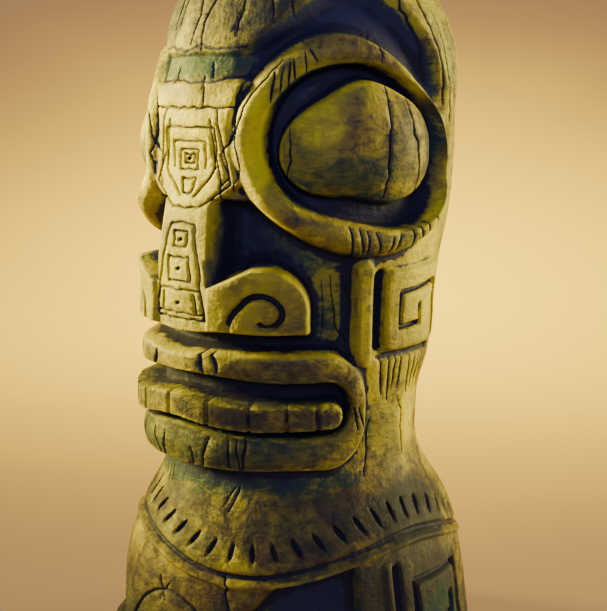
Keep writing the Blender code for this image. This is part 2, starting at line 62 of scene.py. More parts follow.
# Log, in parts: height, radius, and how far the section leans toward the face
LOG_STATIONS = (
    (0.0, 70.5, 7.5),
    (17.0, 68.4, 6.8),
    (33.0, 65.9, 5.8),
    (53.0, 61.1, 4.6),
    (66.0, 54.9, 4.0),
    (72.0, 51.0, 4.4),
    (77.0, 48.6, 5.0),
    (84.0, 46.5, 5.8),
    (92.0, 46.0, 6.0),
    (103.0, 46.5, 5.0),
    (122.0, 50.0, 4.0),
    (138.0, 51.0, 3.1),
    (153.0, 52.3, 2.4),
    (171.0, 55.0, 1.8),
    (190.0, 56.0, 1.4),
    (207.0, 56.2, 0.3),
    (226.0, 55.6, -2.4),
    (272.0, 55.6, -2.4),
)
DOME_HEIGHT = 59.0
DOME_START = HEIGHT_PARTS - DOME_HEIGHT
DOME_POWER = 2.08
FOOT_ROUND = 1.5

# Section of every groove, as shares of its width
GROOVE_FLOOR = 0.15
GROOVE_LIP = 0.62

# Brow: the edge of the forehead over the nose and the eyes
BROW_CENTRE_HEIGHT = 225.0
BROW_ARCH_RISE = 19.5
BROW_ARCH_START = 16.0
BROW_PEAK_ANGLE = 66.0
BROW_END_ANGLE = 110.0
BROW_END_DROP = 37.5
BROW_FALL_POWER = 2.0
BROW_FALL_LIMIT = 1.3
BROW_MIDDLE_DEPTH = 1.6
BROW_DEPTH = 8.5
BROW_WALL = 2.4
BROW_SIDE_WALL = 13.0
BROW_DEEP = (18.0, 36.0)
BROW_SIDE_ANGLE = 46.0
BROW_WALL_SHIFT = 0.2
FACE_EDGE_ANGLE = 113.0
FACE_EDGE_WALL = 5.0
FACE_SHALLOW_ANGLE = 96.0
FACE_SHALLOW_SHARE = 0.75

# Cheek, the hollow ground between eye, nose, mouth and ear
CHEEK_DEPTH = 3.6
CHEEK_END_ANGLE = 60.0
CHEEK_END_WALL = 6.0
CHEEK_RISE = (94.8, 125.8)
CHEEK_TOP = 172.0
CHEEK_BLEND = 20.0

# Eye: outlines as a mean radius and the waves that shape it, round its centre
EYE_ANGLE = 66.0
EYE_HEIGHT = 195.5
RIM_OUTLINE = (39.1, -4.1, -1.7, 2.8, -3.7, -0.4, -0.9, 0.6, -0.4)
SOCKET_OUTLINE = (30.5, 0.8, -1.4, 4.2, -2.9, -0.3, -1.5, -0.1, -0.5)
EYEBALL_OUTLINE = (24.5, 1.2, -0.2, 5.2, -0.2, -0.4, -1.7, 0.8, 0.2)
RIM_RAISE = 0.7
RIM_LOWER_GAIN = 3.0
RIM_UPPER_LOSS = 2.0
RIM_NOSE_LOSS = 1.3
RIM_CHANGE = (8.0, 25.0)
RIM_EDGE = 3.2
RIM_BULGE = 1.0
RIM_CROWN = 12.0
SOCKET_DEPTH = 9.0
SOCKET_WALL = 2.4
EYEBALL_EDGE_RADIUS = 54.8
EYEBALL_BULGE = 8.0
EYEBALL_POWER = 2.4
EYEBALL_WALL = 3.0

# Nose: a flat panel between the eyes over a strip that runs down to the mouth
NOSE_STATIONS = (
    (130.0, 60.4),
    (141.0, 61.4),
    (153.0, 61.0),
    (162.0, 60.0),
    (172.0, 58.2),
    (181.0, 56.0),
    (190.0, 55.2),
    (203.0, 55.6),
    (216.0, 54.2),
)
NOSE_PANEL_HALF = 30.0
NOSE_PANEL_TOP = 216.0
NOSE_PANEL_BOTTOM = 176.5
NOSE_TAPER_START = 14.0
NOSE_TAPER_SLOPE = 0.55
NOSE_FLATNESS = 0.55
NOSE_STRIP_HALF = 12.8
NOSE_STRIP_BOTTOM = 131.6
NOSE_WALL = 2.4
NOSE_CORNER = 2.0
NOSE_FLAT = (168.0, 182.0)

# Nostril hollow beside the strip
NOSTRIL_RADIUS = 44.5
NOSTRIL_OUTER_RADIUS = 50.0
NOSTRIL_START = 18.0
NOSTRIL_END = 40.0
NOSTRIL_TOP = 176.0
NOSTRIL_WALL = 3.0
NOSTRIL_END_WALL = 10.0

# Wing: the scrolled lobe beside the nose strip
WING_RADIUS = 54.0
WING_FORWARD = 9.2
WING_END_ANGLE = 47.2
WING_TOP = 155.3
WING_BOTTOM = 131.4
WING_ROUND = 15.0
WING_LOWER_ROUND = 2.0
WING_SHOULDER_HEIGHT = 149.4
WING_SHOULDER_ANGLE = 14.0
WING_SHOULDER_SLOPE = 0.42
WING_WALL = 3.0
SCROLL_ANGLE = 31.0
SCROLL_HEIGHT = 138.4
SCROLL_REACH = 7.3
SCROLL_TAIL = 5.6
SCROLL_TAIL_TURN = 145.0
SCROLL_CURL = 4.8
SCROLL_CURL_TURN = 20.0
SCROLL_START_TURN = 214.0
SCROLL_END_TURN = -88.0
SCROLL_TAIL_POWER = 1.4
SCROLL_CURL_POWER = 1.2
SCROLL_STEPS = 40
SCROLL_WIDTH = 2.5
SCROLL_DEPTH = 2.4

# Mouth: a ring of lips round a slot with a band of teeth
LIP_RADIUS = 49.6
LIP_FORWARD = 12.4
MOUTH_HEIGHT = 104.8
MOUTH_HALF_WIDTH = 68.6
MOUTH_HALF_HEIGHT = 21.0
MOUTH_ROUND = 17.0
LIP_WALL = 3.4
LIP_BULGE = 1.0
LIP_CROWN = 10.0
SLOT_HEIGHT = 105.8
SLOT_MIDDLE_LIFT = 2.6
SLOT_LIFT_END = 42.0
SLOT_HALF_WIDTH = 62.0
SLOT_HALF_HEIGHT = 9.0
SLOT_DEPTH = 8.0
SLOT_WALL = 2.0
TEETH_RADIUS = 49.0
TEETH_FORWARD = 17.0
TEETH_HEIGHT = 103.7
TEETH_MIDDLE_LIFT = 2.6
TEETH_LIFT_END = 30.0
TEETH_HALF_WIDTH = 58.6
TEETH_HALF_HEIGHT = 4.7
TEETH_ROUND = 4.2
TEETH_WALL = 1.8
TOOTH_GAPS = (0.0, 14.6, 27.8, 39.9, 49.9)
TOOTH_GAP_WIDTH = 1.5
TOOTH_GAP_DEPTH = 1.8

# Ear: a ridge behind the cheek and a panel with a square spiral
EAR_RIDGE_ANGLE = 67.8
EAR_RIDGE_HALF = 3.4
EAR_RIDGE_TOP = 157.0
EAR_RIDGE_BOTTOM = 119.0
EAR_RIDGE_RAISE = 3.0
EAR_RIDGE_WALL = 3.2
EAR_GROOVE_ANGLE = 75.6
EAR_GROOVE_HALF = 2.2
EAR_GROOVE_DEPTH = 4.2
EAR_ANGLE = 95.0
EAR_HALF_WIDTH = 17.2
EAR_HEIGHT = 138.4
EAR_HALF_HEIGHT = 14.2
EAR_ROUND = 3.5
EAR_TILT = 0.07
EAR_PANEL_TILT = 0.035
EAR_RAISE = 1.8
EAR_WALL = 2.0
EAR_SPIRAL = ((14.0, -14.2), (14.0, 6.4), (-9.8, 6.4), (-9.8, -6.2), (2.2, -6.2), (2.2, 0.0))
EAR_SPIRAL_WIDTH = 2.4
EAR_SPIRAL_DEPTH = 2.2
EAR_LEDGE_HEIGHT = 122.0
EAR_LEDGE_WIDTH = 3.4
EAR_LEDGE_DEPTH = 1.4

# Collar on the shoulders: a ring of short notches over a raised band
COLLAR_NOTCHES = 50
COLLAR_HEIGHT = 61.8
COLLAR_WAVES = 3
COLLAR_WAVE = 5.4
COLLAR_PEAK_ANGLE = 85.0
NOTCH_LENGTH = 7.0
NOTCH_LEAN = 0.62
NOTCH_WIDTH = 1.8
NOTCH_DEPTH = 1.5
NOTCH_RIM = 0.25
NOTCH_FLOOR = 0.6
BAND_DROP = 7.6
BAND_WIDTH = 2.8
BAND_DEPTH = 1.2
BEAD_DROP = 10.4
BEAD_WIDTH = 2.2
BEAD_RAISE = 0.7

# Chest panels under the band
PANEL_DEPTH = 0.5
PANEL_EDGE = 1.6
PANEL_FOOT_EDGE = 2.0
HOLLOW_START = 34.0
HOLLOW_END = 61.0
HOLLOW_SLANT = 0.85
HOLLOW_TOP = 42.0
HOLLOW_DEPTH = 4.0
HOLLOW_BOTTOM = 12.0
HOLLOW_WALL = 3.0
SIDE_RIDGE_ANGLE = 72.0
SIDE_RIDGE_HALF = 1.3
SIDE_RIDGE_RAISE = 0.8
SIDE_SLOT_ANGLE = 75.6
SIDE_SLOT_HALF = 1.9
SIDE_SLOT_DEPTH = 2.4
SIDE_SLOT_TOP = 50.0
SIDE_SLOT_END = 4.0
SIDE_SPIRAL_ANGLE = 95.0
SIDE_SPIRAL_HEIGHT = 32.0
SIDE_SPIRAL_HALF = 12.0
SIDE_SPIRAL_HALF_HEIGHT = 11.0
SIDE_SPIRAL_GAP = 5.4
SIDE_SPIRAL_END = 1.1
SIDE_SPIRAL_WIDTH = 3.0
SIDE_SPIRAL_DEPTH = 2.2

# Hand-carved unevenness, in parts
SWAY = 0.7
SWAY_LENGTH = 21.0
SURFACE_WAVE = 0.42
SURFACE_WAVE_LENGTH = 13.0
FACET_WAVE = 0.20
FACET_LENGTH = 4.5

# Tool lines on the nose: half of the pattern, as angle and height
NOSE_LINES = (
    ((0.0, 207.0), (20.0, 207.6)),
    ((13.6, 206.5), (15.6, 196.0), (18.6, 184.5), (15.0, 180.6)),
    ((10.6, 203.6), (13.0, 187.0)),
    ((0.0, 200.6), (12.6, 200.6), (13.6, 193.4), (12.6, 186.0), (3.6, 177.4)),
    ((0.0, 196.0), (8.6, 195.8), (8.2, 187.2)),
    ((0.0, 193.3), (4.6, 193.3), (4.6, 186.6), (0.0, 186.6)),
    ((0.0, 191.6), (2.5, 191.6), (2.5, 188.4), (0.0, 188.4)),
    ((0.0, 183.4), (3.6, 183.4), (2.0, 178.2), (0.0, 178.2)),
    ((0.0, 173.4), (6.2, 173.6)),
    ((15.0, 191.4), (19.5, 181.9), (6.3, 173.7)),
    ((0.0, 168.6), (5.9, 168.2), (9.0, 152.5), (11.8, 136.2)),
    ((0.0, 165.4), (3.3, 165.4), (3.0, 159.9), (0.0, 159.9)),
    ((0.0, 156.8), (4.8, 156.8), (5.2, 148.6), (0.0, 148.6)),
    ((0.0, 145.4), (9.6, 145.4)),
    ((7.4, 144.4), (8.2, 137.6)),
    ((0.0, 137.4), (11.6, 137.6)),
    ((0.0, 135.4), (11.6, 135.6)),
)
NOSE_LINE_WIDTH = 1.25
NOSE_LINE_DEPTH = 0.9
NOSE_LINE_INK = 0.62
NOSE_DOTS = (190.0, 162.5, 152.6, 140.8)
NOSE_DOT_WIDTH = 1.5
NOSE_DOT_DEPTH = 0.9
NOSE_DOT_HALF = 0.5
NOSE_DOT_LIFT = 0.3

# Two wavy lines along the brow band, and the extra roundness of the rim of the eye
BAND_LINES = (
    ((-27.0, 226.0), (-16.0, 227.8), (-6.0, 226.2), (4.0, 227.8), (14.0, 226.6), (24.0, 227.4)),
    ((-24.0, 216.0), (-10.0, 216.8), (2.0, 215.6), (14.0, 216.6), (24.0, 217.6), (30.0, 220.0)),
)
BAND_LINE_WIDTH = 1.5
BAND_LINE_DEPTH = 0.5
RIM_ROLL = 2.1
RIM_ROLL_LOSS = 0.8
RIM_ROLL_REACH = 8.8

# Drying cracks and knife nicks: width, depth, then the angle and height of points along each
CRACKS = (
    (0.9, 0.9, (-17.0, 262.0), (-17.4, 243.0), (-14.7, 235.0)),
    (1.1, 1.2, (5.0, 263.0), (4.6, 242.8), (1.8, 236.0), (3.2, 226.4)),
    (1.1, 1.1, (24.0, 262.0), (20.4, 242.3), (18.6, 230.8)),
    (0.9, 0.8, (32.4, 256.0), (33.2, 235.2)),
    (0.9, 0.8, (40.0, 258.0), (41.0, 236.6)),
    (0.8, 0.7, (9.3, 222.4), (10.6, 216.8)),
    (1.0, 0.9, (5.7, 217.6), (7.4, 214.1), (7.1, 207.4)),
    (1.0, 1.1, (25.6, 222.4), (23.9, 215.7), (21.4, 210.9), (21.0, 198.0), (15.0, 191.4)),
    (0.9, 0.9, (37.7, 222.8), (30.4, 215.4), (24.8, 207.3), (21.4, 197.0), (23.6, 187.0), (20.0, 179.6)),
    (0.8, 0.8, (14.1, 190.0), (15.5, 180.1), (14.6, 175.4)),
    (1.1, 1.1, (73.4, 214.6), (73.4, 208.0), (72.5, 198.3), (72.5, 187.5), (72.8, 177.8)),
    (1.0, 1.0, (82.0, 211.0), (83.0, 200.7), (86.0, 189.0), (88.0, 177.0)),
    (0.8, 0.8, (40.4, 200.6), (40.9, 190.2), (38.5, 183.1)),
    (0.9, 0.8, (73.6, 231.4), (73.0, 222.0)),
    (2.1, 1.1, (10.4, 125.0), (11.6, 118.4)),
    (2.1, 1.1, (14.6, 125.4), (16.6, 118.8)),
    (1.0, 0.9, (-6.6, 94.4), (-8.0, 84.0)),
    (1.0, 0.9, (13.6, 95.8), (10.6, 84.4)),
    (1.0, 0.9, (20.2, 95.6), (20.7, 85.4)),
    (0.9, 0.8, (22.9, 95.8), (24.1, 85.2)),
    (1.3, 1.0, (26.4, 96.8), (24.6, 84.6)),
    (1.1, 1.0, (63.0, 105.6), (64.6, 98.0)),
    (0.9, 0.8, (65.0, 106.0), (67.2, 98.6)),
    (0.8, 0.6, (55.8, 151.0), (56.4, 142.7), (57.7, 134.2), (61.3, 128.2)),
    (0.8, 0.6, (59.9, 151.0), (61.6, 144.3), (63.4, 138.0)),
    (0.8, 0.5, (52.0, 150.0), (52.8, 137.0), (51.6, 130.0)),
    (0.9, 0.9, (73.4, 99.0), (72.4, 88.2), (70.5, 79.4)),
    (0.9, 0.9, (90.1, 106.0), (94.7, 100.2), (95.8, 82.6)),
    (1.0, 0.8, (20.5, 77.0), (17.7, 68.3)),
    (0.8, 0.6, (18.5, 76.4), (14.9, 69.2)),
    (1.0, 0.9, (21.1, 50.0), (22.1, 42.8), (23.6, 37.0), (22.0, 22.0)),
    (0.8, 0.7, (-2.7, 44.0), (1.2, 36.2)),
    (1.2, 0.9, (86.0, 250.0), (88.2, 240.2), (97.0, 229.0), (101.0, 219.0)),
    (1.2, 0.9, (97.0, 250.0), (98.5, 238.8), (105.8, 222.4), (110.0, 208.0)),
    (1.0, 0.8, (106.1, 240.0), (111.6, 213.2), (115.0, 202.0)),
    (1.0, 0.8, (113.0, 236.0), (118.0, 206.0), (119.0, 190.0)),
    (0.8, 0.6, (121.0, 228.0), (124.0, 200.0), (123.0, 176.0)),
)

# Rows of like cuts: count, width, depth, then the angle and height of both ends of the
# first cut and of the last
CUT_ROWS = (
    (6, 1.1, 0.8, (35.1, 219.2), (34.7, 207.6), (47.2, 226.6), (48.6, 221.0)),
    (4, 1.1, 0.8, (59.6, 168.6), (61.0, 158.2), (69.4, 166.4), (71.0, 157.4)),
    (7, 1.1, 0.8, (76.0, 165.0), (75.4, 157.8), (97.0, 171.0), (99.6, 163.6)),
    (9, 1.3, 0.9, (77.6, 121.0), (79.4, 108.0), (111.4, 119.6), (110.6, 106.0)),
)

# Small arch cut on the chest
ARCH_ANGLE = 3.0
ARCH_HEIGHT = 22.0
ARCH_REACH = 17.5
ARCH_SQUEEZE = 0.88
ARCH_START_TURN = -10.0
ARCH_SPAN = 200.0
ARCH_STEPS = 24
ARCH_WIDTH = 1.3
ARCH_DEPTH = 0.8

# Plain cracks of the back: how many, and the ranges of their angle, height, length, width
# and depth
BACK_CRACKS = 26
BACK_ANGLES = (120.0, 240.0)
BACK_HEIGHTS = (95.0, 250.0)
BACK_LENGTHS = (8.0, 38.0)
BACK_WIDTHS = (0.8, 1.2)
BACK_DEPTHS = (0.5, 1.0)

# Section of a cut as shares of its width, the reach it is drawn in, and the depth from
# which its ink is full
CUT_FLOOR = 0.12
CUT_LIP = 0.62
CUT_MARGIN_SHARE = 1.2
CUT_MARGIN = 0.4
FULL_INK_DEPTH = 0.7
TINY = 1.0e-9
WANDER_STEP = 2.2
WANDER_SEED = 1000

# Kinds of cut: how far each narrows at its ends, how far the hand strays along it, and the
# seed that keeps its random draws apart
CUT_KINDS = {
    "nose": (0.1, 0.2, 0),
    "dot": (0.0, 0.0, 0),
    "band": (0.3, 0.3, 400),
    "crack": (0.45, 0.25, 50),
    "far crack": (0.5, 0.4, 150),
    "row": (0.5, 0.12, 0),
    "arch": (0.0, 0.1, 5),
    "back": (0.6, 0.3, 300),
}
ROW_SEED = 70
BACK_SEED = 11

# The far side's cracks: how far they are lifted and stretched. Each row's cuts: how far
# their place, their lower end and their depth are off. The back's cracks stray too.
FAR_CRACK_LIFT = 3.0
FAR_CRACK_PHASE = 7.0
FAR_CRACK_STRETCH = 0.03
ROW_PLACE_STRAY = 0.25
ROW_ANGLE_STRAY = 1.2
ROW_HEIGHT_STRAY = 1.4
ROW_DEPTHS = (0.7, 1.15)
BACK_STRAY = 1.2
BACK_STEPS = 4


def ease(value, start, end):
    """Smooth step from 0 at start to 1 at end."""
    share = np.clip((value - start) / (end - start), 0.0, 1.0)
    return share * share * (3.0 - 2.0 * share)


def inside(distance, wall):
    """Share of a raised or sunk form, from its signed distance and the width of its wall."""
    return ease(distance, -0.5 * wall, 0.5 * wall)


def mix(first, second, share):
    return first + (second - first) * share


def curve(stations, column, value):
    """Smooth curve through one column of a table of stations."""
    heights = np.array([row[0] for row in stations])
    sizes = np.array([row[column] for row in stations])
    slopes = np.gradient(sizes, heights)
    place = np.clip(np.searchsorted(heights, value) - 1, 0, len(heights) - 2)
    span = heights[place + 1] - heights[place]
    share = np.clip((value - heights[place]) / span, 0.0, 1.0)
    start = sizes[place]
    end = sizes[place + 1]
    bend_in = slopes[place] * span
    bend_out = slopes[place + 1] * span
    square = share * share
    cube = square * share
    return (
        (2.0 * cube - 3.0 * square + 1.0) * start
        + (cube - 2.0 * square + share) * bend_in
        + (3.0 * square - 2.0 * cube) * end
        + (cube - square) * bend_out
    )


def rounded_box(across, up, half_width, half_height, corner):
    """Signed distance to a box with round corners, positive inside."""
    beside = np.abs(across) - (half_width - corner)
    above = np.abs(up) - (half_height - corner)
    outer = np.hypot(np.maximum(beside, 0.0), np.maximum(above, 0.0))
    inner = np.minimum(np.maximum(beside, above), 0.0)
    return corner - outer - inner


def upright_box(side, height, half_width, bottom, top, corner):
    """Signed distance to a box with round corners that stands between two heights."""
    return rounded_box(side, height - 0.5 * (top + bottom), half_width, 0.5 * (top - bottom), corner)


def outline(across, up, waves):
    """Signed distance to an outline given as a radius with waves round its centre."""
    turn = np.arctan2(up, across)
    radius = np.full_like(turn, waves[0])
    for order in range(1, (len(waves) + 1) // 2):
        radius = radius + waves[2 * order - 1] * np.cos(order * turn)
        radius = radius + waves[2 * order] * np.sin(order * turn)
    return radius - np.hypot(across, up)


def to_path(across, up, points):
    """Distance to a path of straight runs."""
    nearest = np.full(np.shape(across), FAR)
    for (x_start, y_start), (x_end, y_end) in zip(points[:-1], points[1:]):
        run_x = x_end - x_start
        run_y = y_end - y_start
        length_square = run_x * run_x + run_y * run_y
        share = ((across - x_start) * run_x + (up - y_start) * run_y) / length_square
        share = np.clip(share, 0.0, 1.0)
        gap = np.hypot(across - x_start - share * run_x, up - y_start - share * run_y)
        nearest = np.minimum(nearest, gap)
    return nearest


def groove(distance, width, depth):
    """Depth of a round-bottomed groove at a distance from its path."""
    return depth * (1.0 - ease(distance, GROOVE_FLOOR * width, GROOVE_LIP * width))


def round_spiral():
    """Path of the scroll on the wing, from its tail at the bottom to its centre."""
    points = []
    for step in range(SCROLL_STEPS + 1):
        share = step / SCROLL_STEPS
        degrees = SCROLL_START_TURN + (SCROLL_END_TURN - SCROLL_START_TURN) * share
        tail = max(0.0, degrees - SCROLL_TAIL_TURN) / (SCROLL_START_TURN - SCROLL_TAIL_TURN)
        curl = max(0.0, SCROLL_CURL_TURN - degrees) / (SCROLL_CURL_TURN - SCROLL_END_TURN)
        reach = SCROLL_REACH + SCROLL_TAIL * tail ** SCROLL_TAIL_POWER
        reach = reach - SCROLL_CURL * curl ** SCROLL_CURL_POWER
        turn = math.radians(degrees)
        points.append((SCROLL_ANGLE + reach * math.cos(turn), SCROLL_HEIGHT + reach * math.sin(turn)))
    return points


def side_spiral():
    """Path of the square spiral on the chest, round its own middle, from its back corner."""
    wide = SIDE_SPIRAL_HALF
    tall = SIDE_SPIRAL_HALF_HEIGHT
    inner = SIDE_SPIRAL_GAP
    return [
        (wide, -tall),
        (wide, tall),
        (-wide, tall),
        (-wide, inner - tall),
        (wide - inner, inner - tall),
        (wide - inner, SIDE_SPIRAL_END),
    ]


def log_radius(angle, height):
    """Radius of the bare log, with its dome and its eased foot."""
    radius = curve(LOG_STATIONS, 1, height)
    lean = curve(LOG_STATIONS, 2, height) / radius
    rise = np.clip((height - DOME_START) / DOME_HEIGHT, 0.0, 1.0)
    radius = radius * (1.0 - rise ** DOME_POWER) ** (1.0 / DOME_POWER)
    drop = np.clip(1.0 - height / FOOT_ROUND, 0.0, 1.0)
    radius = radius - FOOT_ROUND * (1.0 - np.sqrt(1.0 - drop * drop))
    return radius * (1.0 + lean * np.cos(np.radians(angle)))


def brow_height(side):
    """Height of the brow edge at an angle from the middle of the face."""
    rise = BROW_ARCH_RISE * ease(side, BROW_ARCH_START, BROW_PEAK_ANGLE)
    beyond = np.clip((side - BROW_PEAK_ANGLE) / (BROW_END_ANGLE - BROW_PEAK_ANGLE), 0.0, BROW_FALL_LIMIT)
    return BROW_CENTRE_HEIGHT + rise - BROW_END_DROP * beyond ** BROW_FALL_POWER


def cut_face(radius, side, height):
    """Ground of the face, set back under the brow and at the cheeks."""
    under_brow = mix(BROW_MIDDLE_DEPTH, BROW_DEPTH, ease(side, *BROW_DEEP))
    under_brow = under_brow * (1.0 - FACE_SHALLOW_SHARE * ease(side, FACE_SHALLOW_ANGLE, FACE_EDGE_ANGLE))
    cheek = CHEEK_DEPTH * (1.0 - ease(side, CHEEK_END_ANGLE, CHEEK_END_ANGLE + CHEEK_END_WALL))
    cheek = cheek * ease(height, *CHEEK_RISE)
    depth = mix(cheek, under_brow, ease(height, CHEEK_TOP, CHEEK_TOP + CHEEK_BLEND))
    wall = mix(BROW_WALL, BROW_SIDE_WALL, ease(side, BROW_ARCH_START, BROW_SIDE_ANGLE))
    edge = inside(brow_height(side) - height + BROW_WALL_SHIFT * (wall - BROW_WALL), wall)
    edge = edge * (1.0 - ease(side, FACE_EDGE_ANGLE, FACE_EDGE_ANGLE + FACE_EDGE_WALL))
    return radius - depth * edge


def carve_eye(radius, bare, side, height):
    """Rim, socket and eyeball."""
    across = side - EYE_ANGLE
    up = height - EYE_HEIGHT
    rim_inside = outline(across, up, RIM_OUTLINE)
    socket_inside = outline(across, up, SOCKET_OUTLINE)
    ball_inside = outline(across, up, EYEBALL_OUTLINE)
    rim = bare + RIM_RAISE + RIM_LOWER_GAIN * ease(-up, *RIM_CHANGE)
    rim = rim - RIM_UPPER_LOSS * ease(up, *RIM_CHANGE)
    rim = rim - RIM_NOSE_LOSS * ease(-across, *RIM_CHANGE)
    middle = 1.0 - np.clip(np.abs(rim_inside + socket_inside) / RIM_CROWN, 0.0, 1.0) ** 2
    rim = rim + RIM_BULGE * middle
    radius = mix(radius, np.maximum(rim, radius), inside(rim_inside, RIM_EDGE))
    radius = radius - SOCKET_DEPTH * inside(socket_inside, SOCKET_WALL)
    reach = np.hypot(across, up) / np.maximum(ball_inside + np.hypot(across, up), 1.0)
    ball = EYEBALL_EDGE_RADIUS + EYEBALL_BULGE * (1.0 - np.clip(reach, 0.0, 1.0) ** EYEBALL_POWER)
    return mix(radius, ball, inside(ball_inside, EYEBALL_WALL))


def carve_nose(radius, side, height):
    """Nostril hollow, wing with its scroll, panel and strip."""
    hollow = mix(NOSTRIL_RADIUS, NOSTRIL_OUTER_RADIUS, ease(side, NOSTRIL_START, NOSTRIL_END))
    near = inside(NOSTRIL_TOP - height, NOSTRIL_WALL) * inside(height - WING_BOTTOM, NOSTRIL_WALL)
    near = near * (1.0 - ease(side, NOSTRIL_END, NOSTRIL_END + NOSTRIL_END_WALL))
    rim_inside = outline(side - EYE_ANGLE, height - EYE_HEIGHT, RIM_OUTLINE)
    near = near * (1.0 - inside(rim_inside, RIM_EDGE))
    radius = mix(radius, hollow, near)

    wing_inside = upright_box(side, height, WING_END_ANGLE, WING_BOTTOM, WING_TOP, WING_LOWER_ROUND)
    top_half = WING_TOP - WING_BOTTOM
    top_inside = rounded_box(side, height - WING_BOTTOM, WING_END_ANGLE, top_half, WING_ROUND)
    slope = WING_SHOULDER_HEIGHT + WING_SHOULDER_SLOPE * (side - WING_SHOULDER_ANGLE)
    slope_inside = (slope - height) / math.hypot(1.0, WING_SHOULDER_SLOPE)
    wing_inside = np.minimum(np.minimum(wing_inside, top_inside), slope_inside)
    wing = WING_RADIUS + WING_FORWARD * np.cos(np.radians(side))
    wing = wing - groove(to_path(side, height, round_spiral()), SCROLL_WIDTH, SCROLL_DEPTH)
    radius = mix(radius, wing, inside(wing_inside, WING_WALL))

    nose = curve(NOSE_STATIONS, 1, np.clip(height, NOSE_STATIONS[0][0], NOSE_STATIONS[-1][0]))
    flat = 1.0 / np.cos(np.radians(NOSE_FLATNESS * np.minimum(side, NOSE_PANEL_HALF)))
    panel_inside = upright_box(
        side, height, NOSE_PANEL_HALF, NOSE_PANEL_BOTTOM, NOSE_PANEL_TOP, NOSE_CORNER
    )
    taper = NOSE_PANEL_BOTTOM + NOSE_TAPER_SLOPE * (side - NOSE_TAPER_START)
    panel_inside = np.minimum(panel_inside, (height - taper) / math.hypot(1.0, NOSE_TAPER_SLOPE))
    strip_inside = upright_box(
        side, height, NOSE_STRIP_HALF, NOSE_STRIP_BOTTOM, NOSE_PANEL_TOP, NOSE_CORNER
    )
    nose_inside = np.maximum(panel_inside, strip_inside)
    flat = mix(1.0, flat, ease(height, *NOSE_FLAT))
    panel_share = inside(nose_inside, NOSE_WALL) * (1.0 - inside(rim_inside - RIM_BULGE, RIM_EDGE))
    return mix(radius, nose * flat, panel_share)


def carve_mouth(radius, side, height):
    """Lips, slot and teeth."""
    forward = np.cos(np.radians(side))
    slot_height = SLOT_HEIGHT + SLOT_MIDDLE_LIFT * (1.0 - ease(side, 0.0, SLOT_LIFT_END))
    teeth_height = TEETH_HEIGHT + TEETH_MIDDLE_LIFT * (1.0 - ease(side, 0.0, TEETH_LIFT_END))
    lips_inside = rounded_box(
        side, height - MOUTH_HEIGHT, MOUTH_HALF_WIDTH, MOUTH_HALF_HEIGHT, MOUTH_ROUND
    )
    slot_inside = rounded_box(
        side, height - slot_height, SLOT_HALF_WIDTH, SLOT_HALF_HEIGHT, SLOT_HALF_HEIGHT
    )
    teeth_inside = rounded_box(
        side, height - teeth_height, TEETH_HALF_WIDTH, TEETH_HALF_HEIGHT, TEETH_ROUND
    )
    lips = LIP_RADIUS + LIP_FORWARD * forward
    middle = 1.0 - np.clip(np.abs(lips_inside + slot_inside) / LIP_CROWN, 0.0, 1.0) ** 2
    lips = lips + LIP_BULGE * middle
    radius = mix(radius, np.maximum(lips, radius), inside(lips_inside, LIP_WALL))
    radius = radius - SLOT_DEPTH * inside(slot_inside, SLOT_WALL)
    teeth = TEETH_RADIUS + TEETH_FORWARD * forward
    for gap in TOOTH_GAPS:
        teeth = teeth - groove(np.abs(side - gap), TOOTH_GAP_WIDTH, TOOTH_GAP_DEPTH)
    return mix(radius, teeth, inside(teeth_inside, TEETH_WALL))


def carve_ear(radius, side, height):
    """Ridge, groove and spiral panel."""
    beside = side - EAR_RIDGE_ANGLE
    ridge_inside = upright_box(
        beside, height, EAR_RIDGE_HALF, EAR_RIDGE_BOTTOM, EAR_RIDGE_TOP, EAR_RIDGE_HALF
    )
    radius = radius + EAR_RIDGE_RAISE * inside(ridge_inside, EAR_RIDGE_WALL)
    across = side - EAR_ANGLE
    up = height - EAR_HEIGHT
    groove_inside = rounded_box(
        side - EAR_GROOVE_ANGLE, up, EAR_GROOVE_HALF, EAR_HALF_HEIGHT, EAR_GROOVE_HALF
    )
    radius = radius - EAR_GROOVE_DEPTH * inside(groove_inside, EAR_WALL)
    panel_up = up - EAR_PANEL_TILT * across
    panel_inside = rounded_box(across, panel_up, EAR_HALF_WIDTH, EAR_HALF_HEIGHT, EAR_ROUND)
    ledge = [(EAR_GROOVE_ANGLE, EAR_LEDGE_HEIGHT), (EAR_ANGLE + EAR_HALF_WIDTH, EAR_LEDGE_HEIGHT)]
    radius = radius - groove(to_path(side, height, ledge), EAR_LEDGE_WIDTH, EAR_LEDGE_DEPTH)
    to_spiral = to_path(across, up - EAR_TILT * across, EAR_SPIRAL)
    raise_by = EAR_RAISE - groove(to_spiral, EAR_SPIRAL_WIDTH, EAR_SPIRAL_DEPTH)
    return radius + raise_by * inside(panel_inside, EAR_WALL)


def collar_height(angle):
    """Height of the ring of notches, which rises toward the shoulders."""
    return COLLAR_HEIGHT + COLLAR_WAVE * np.cos(np.radians(COLLAR_WAVES * (angle - COLLAR_PEAK_ANGLE)))


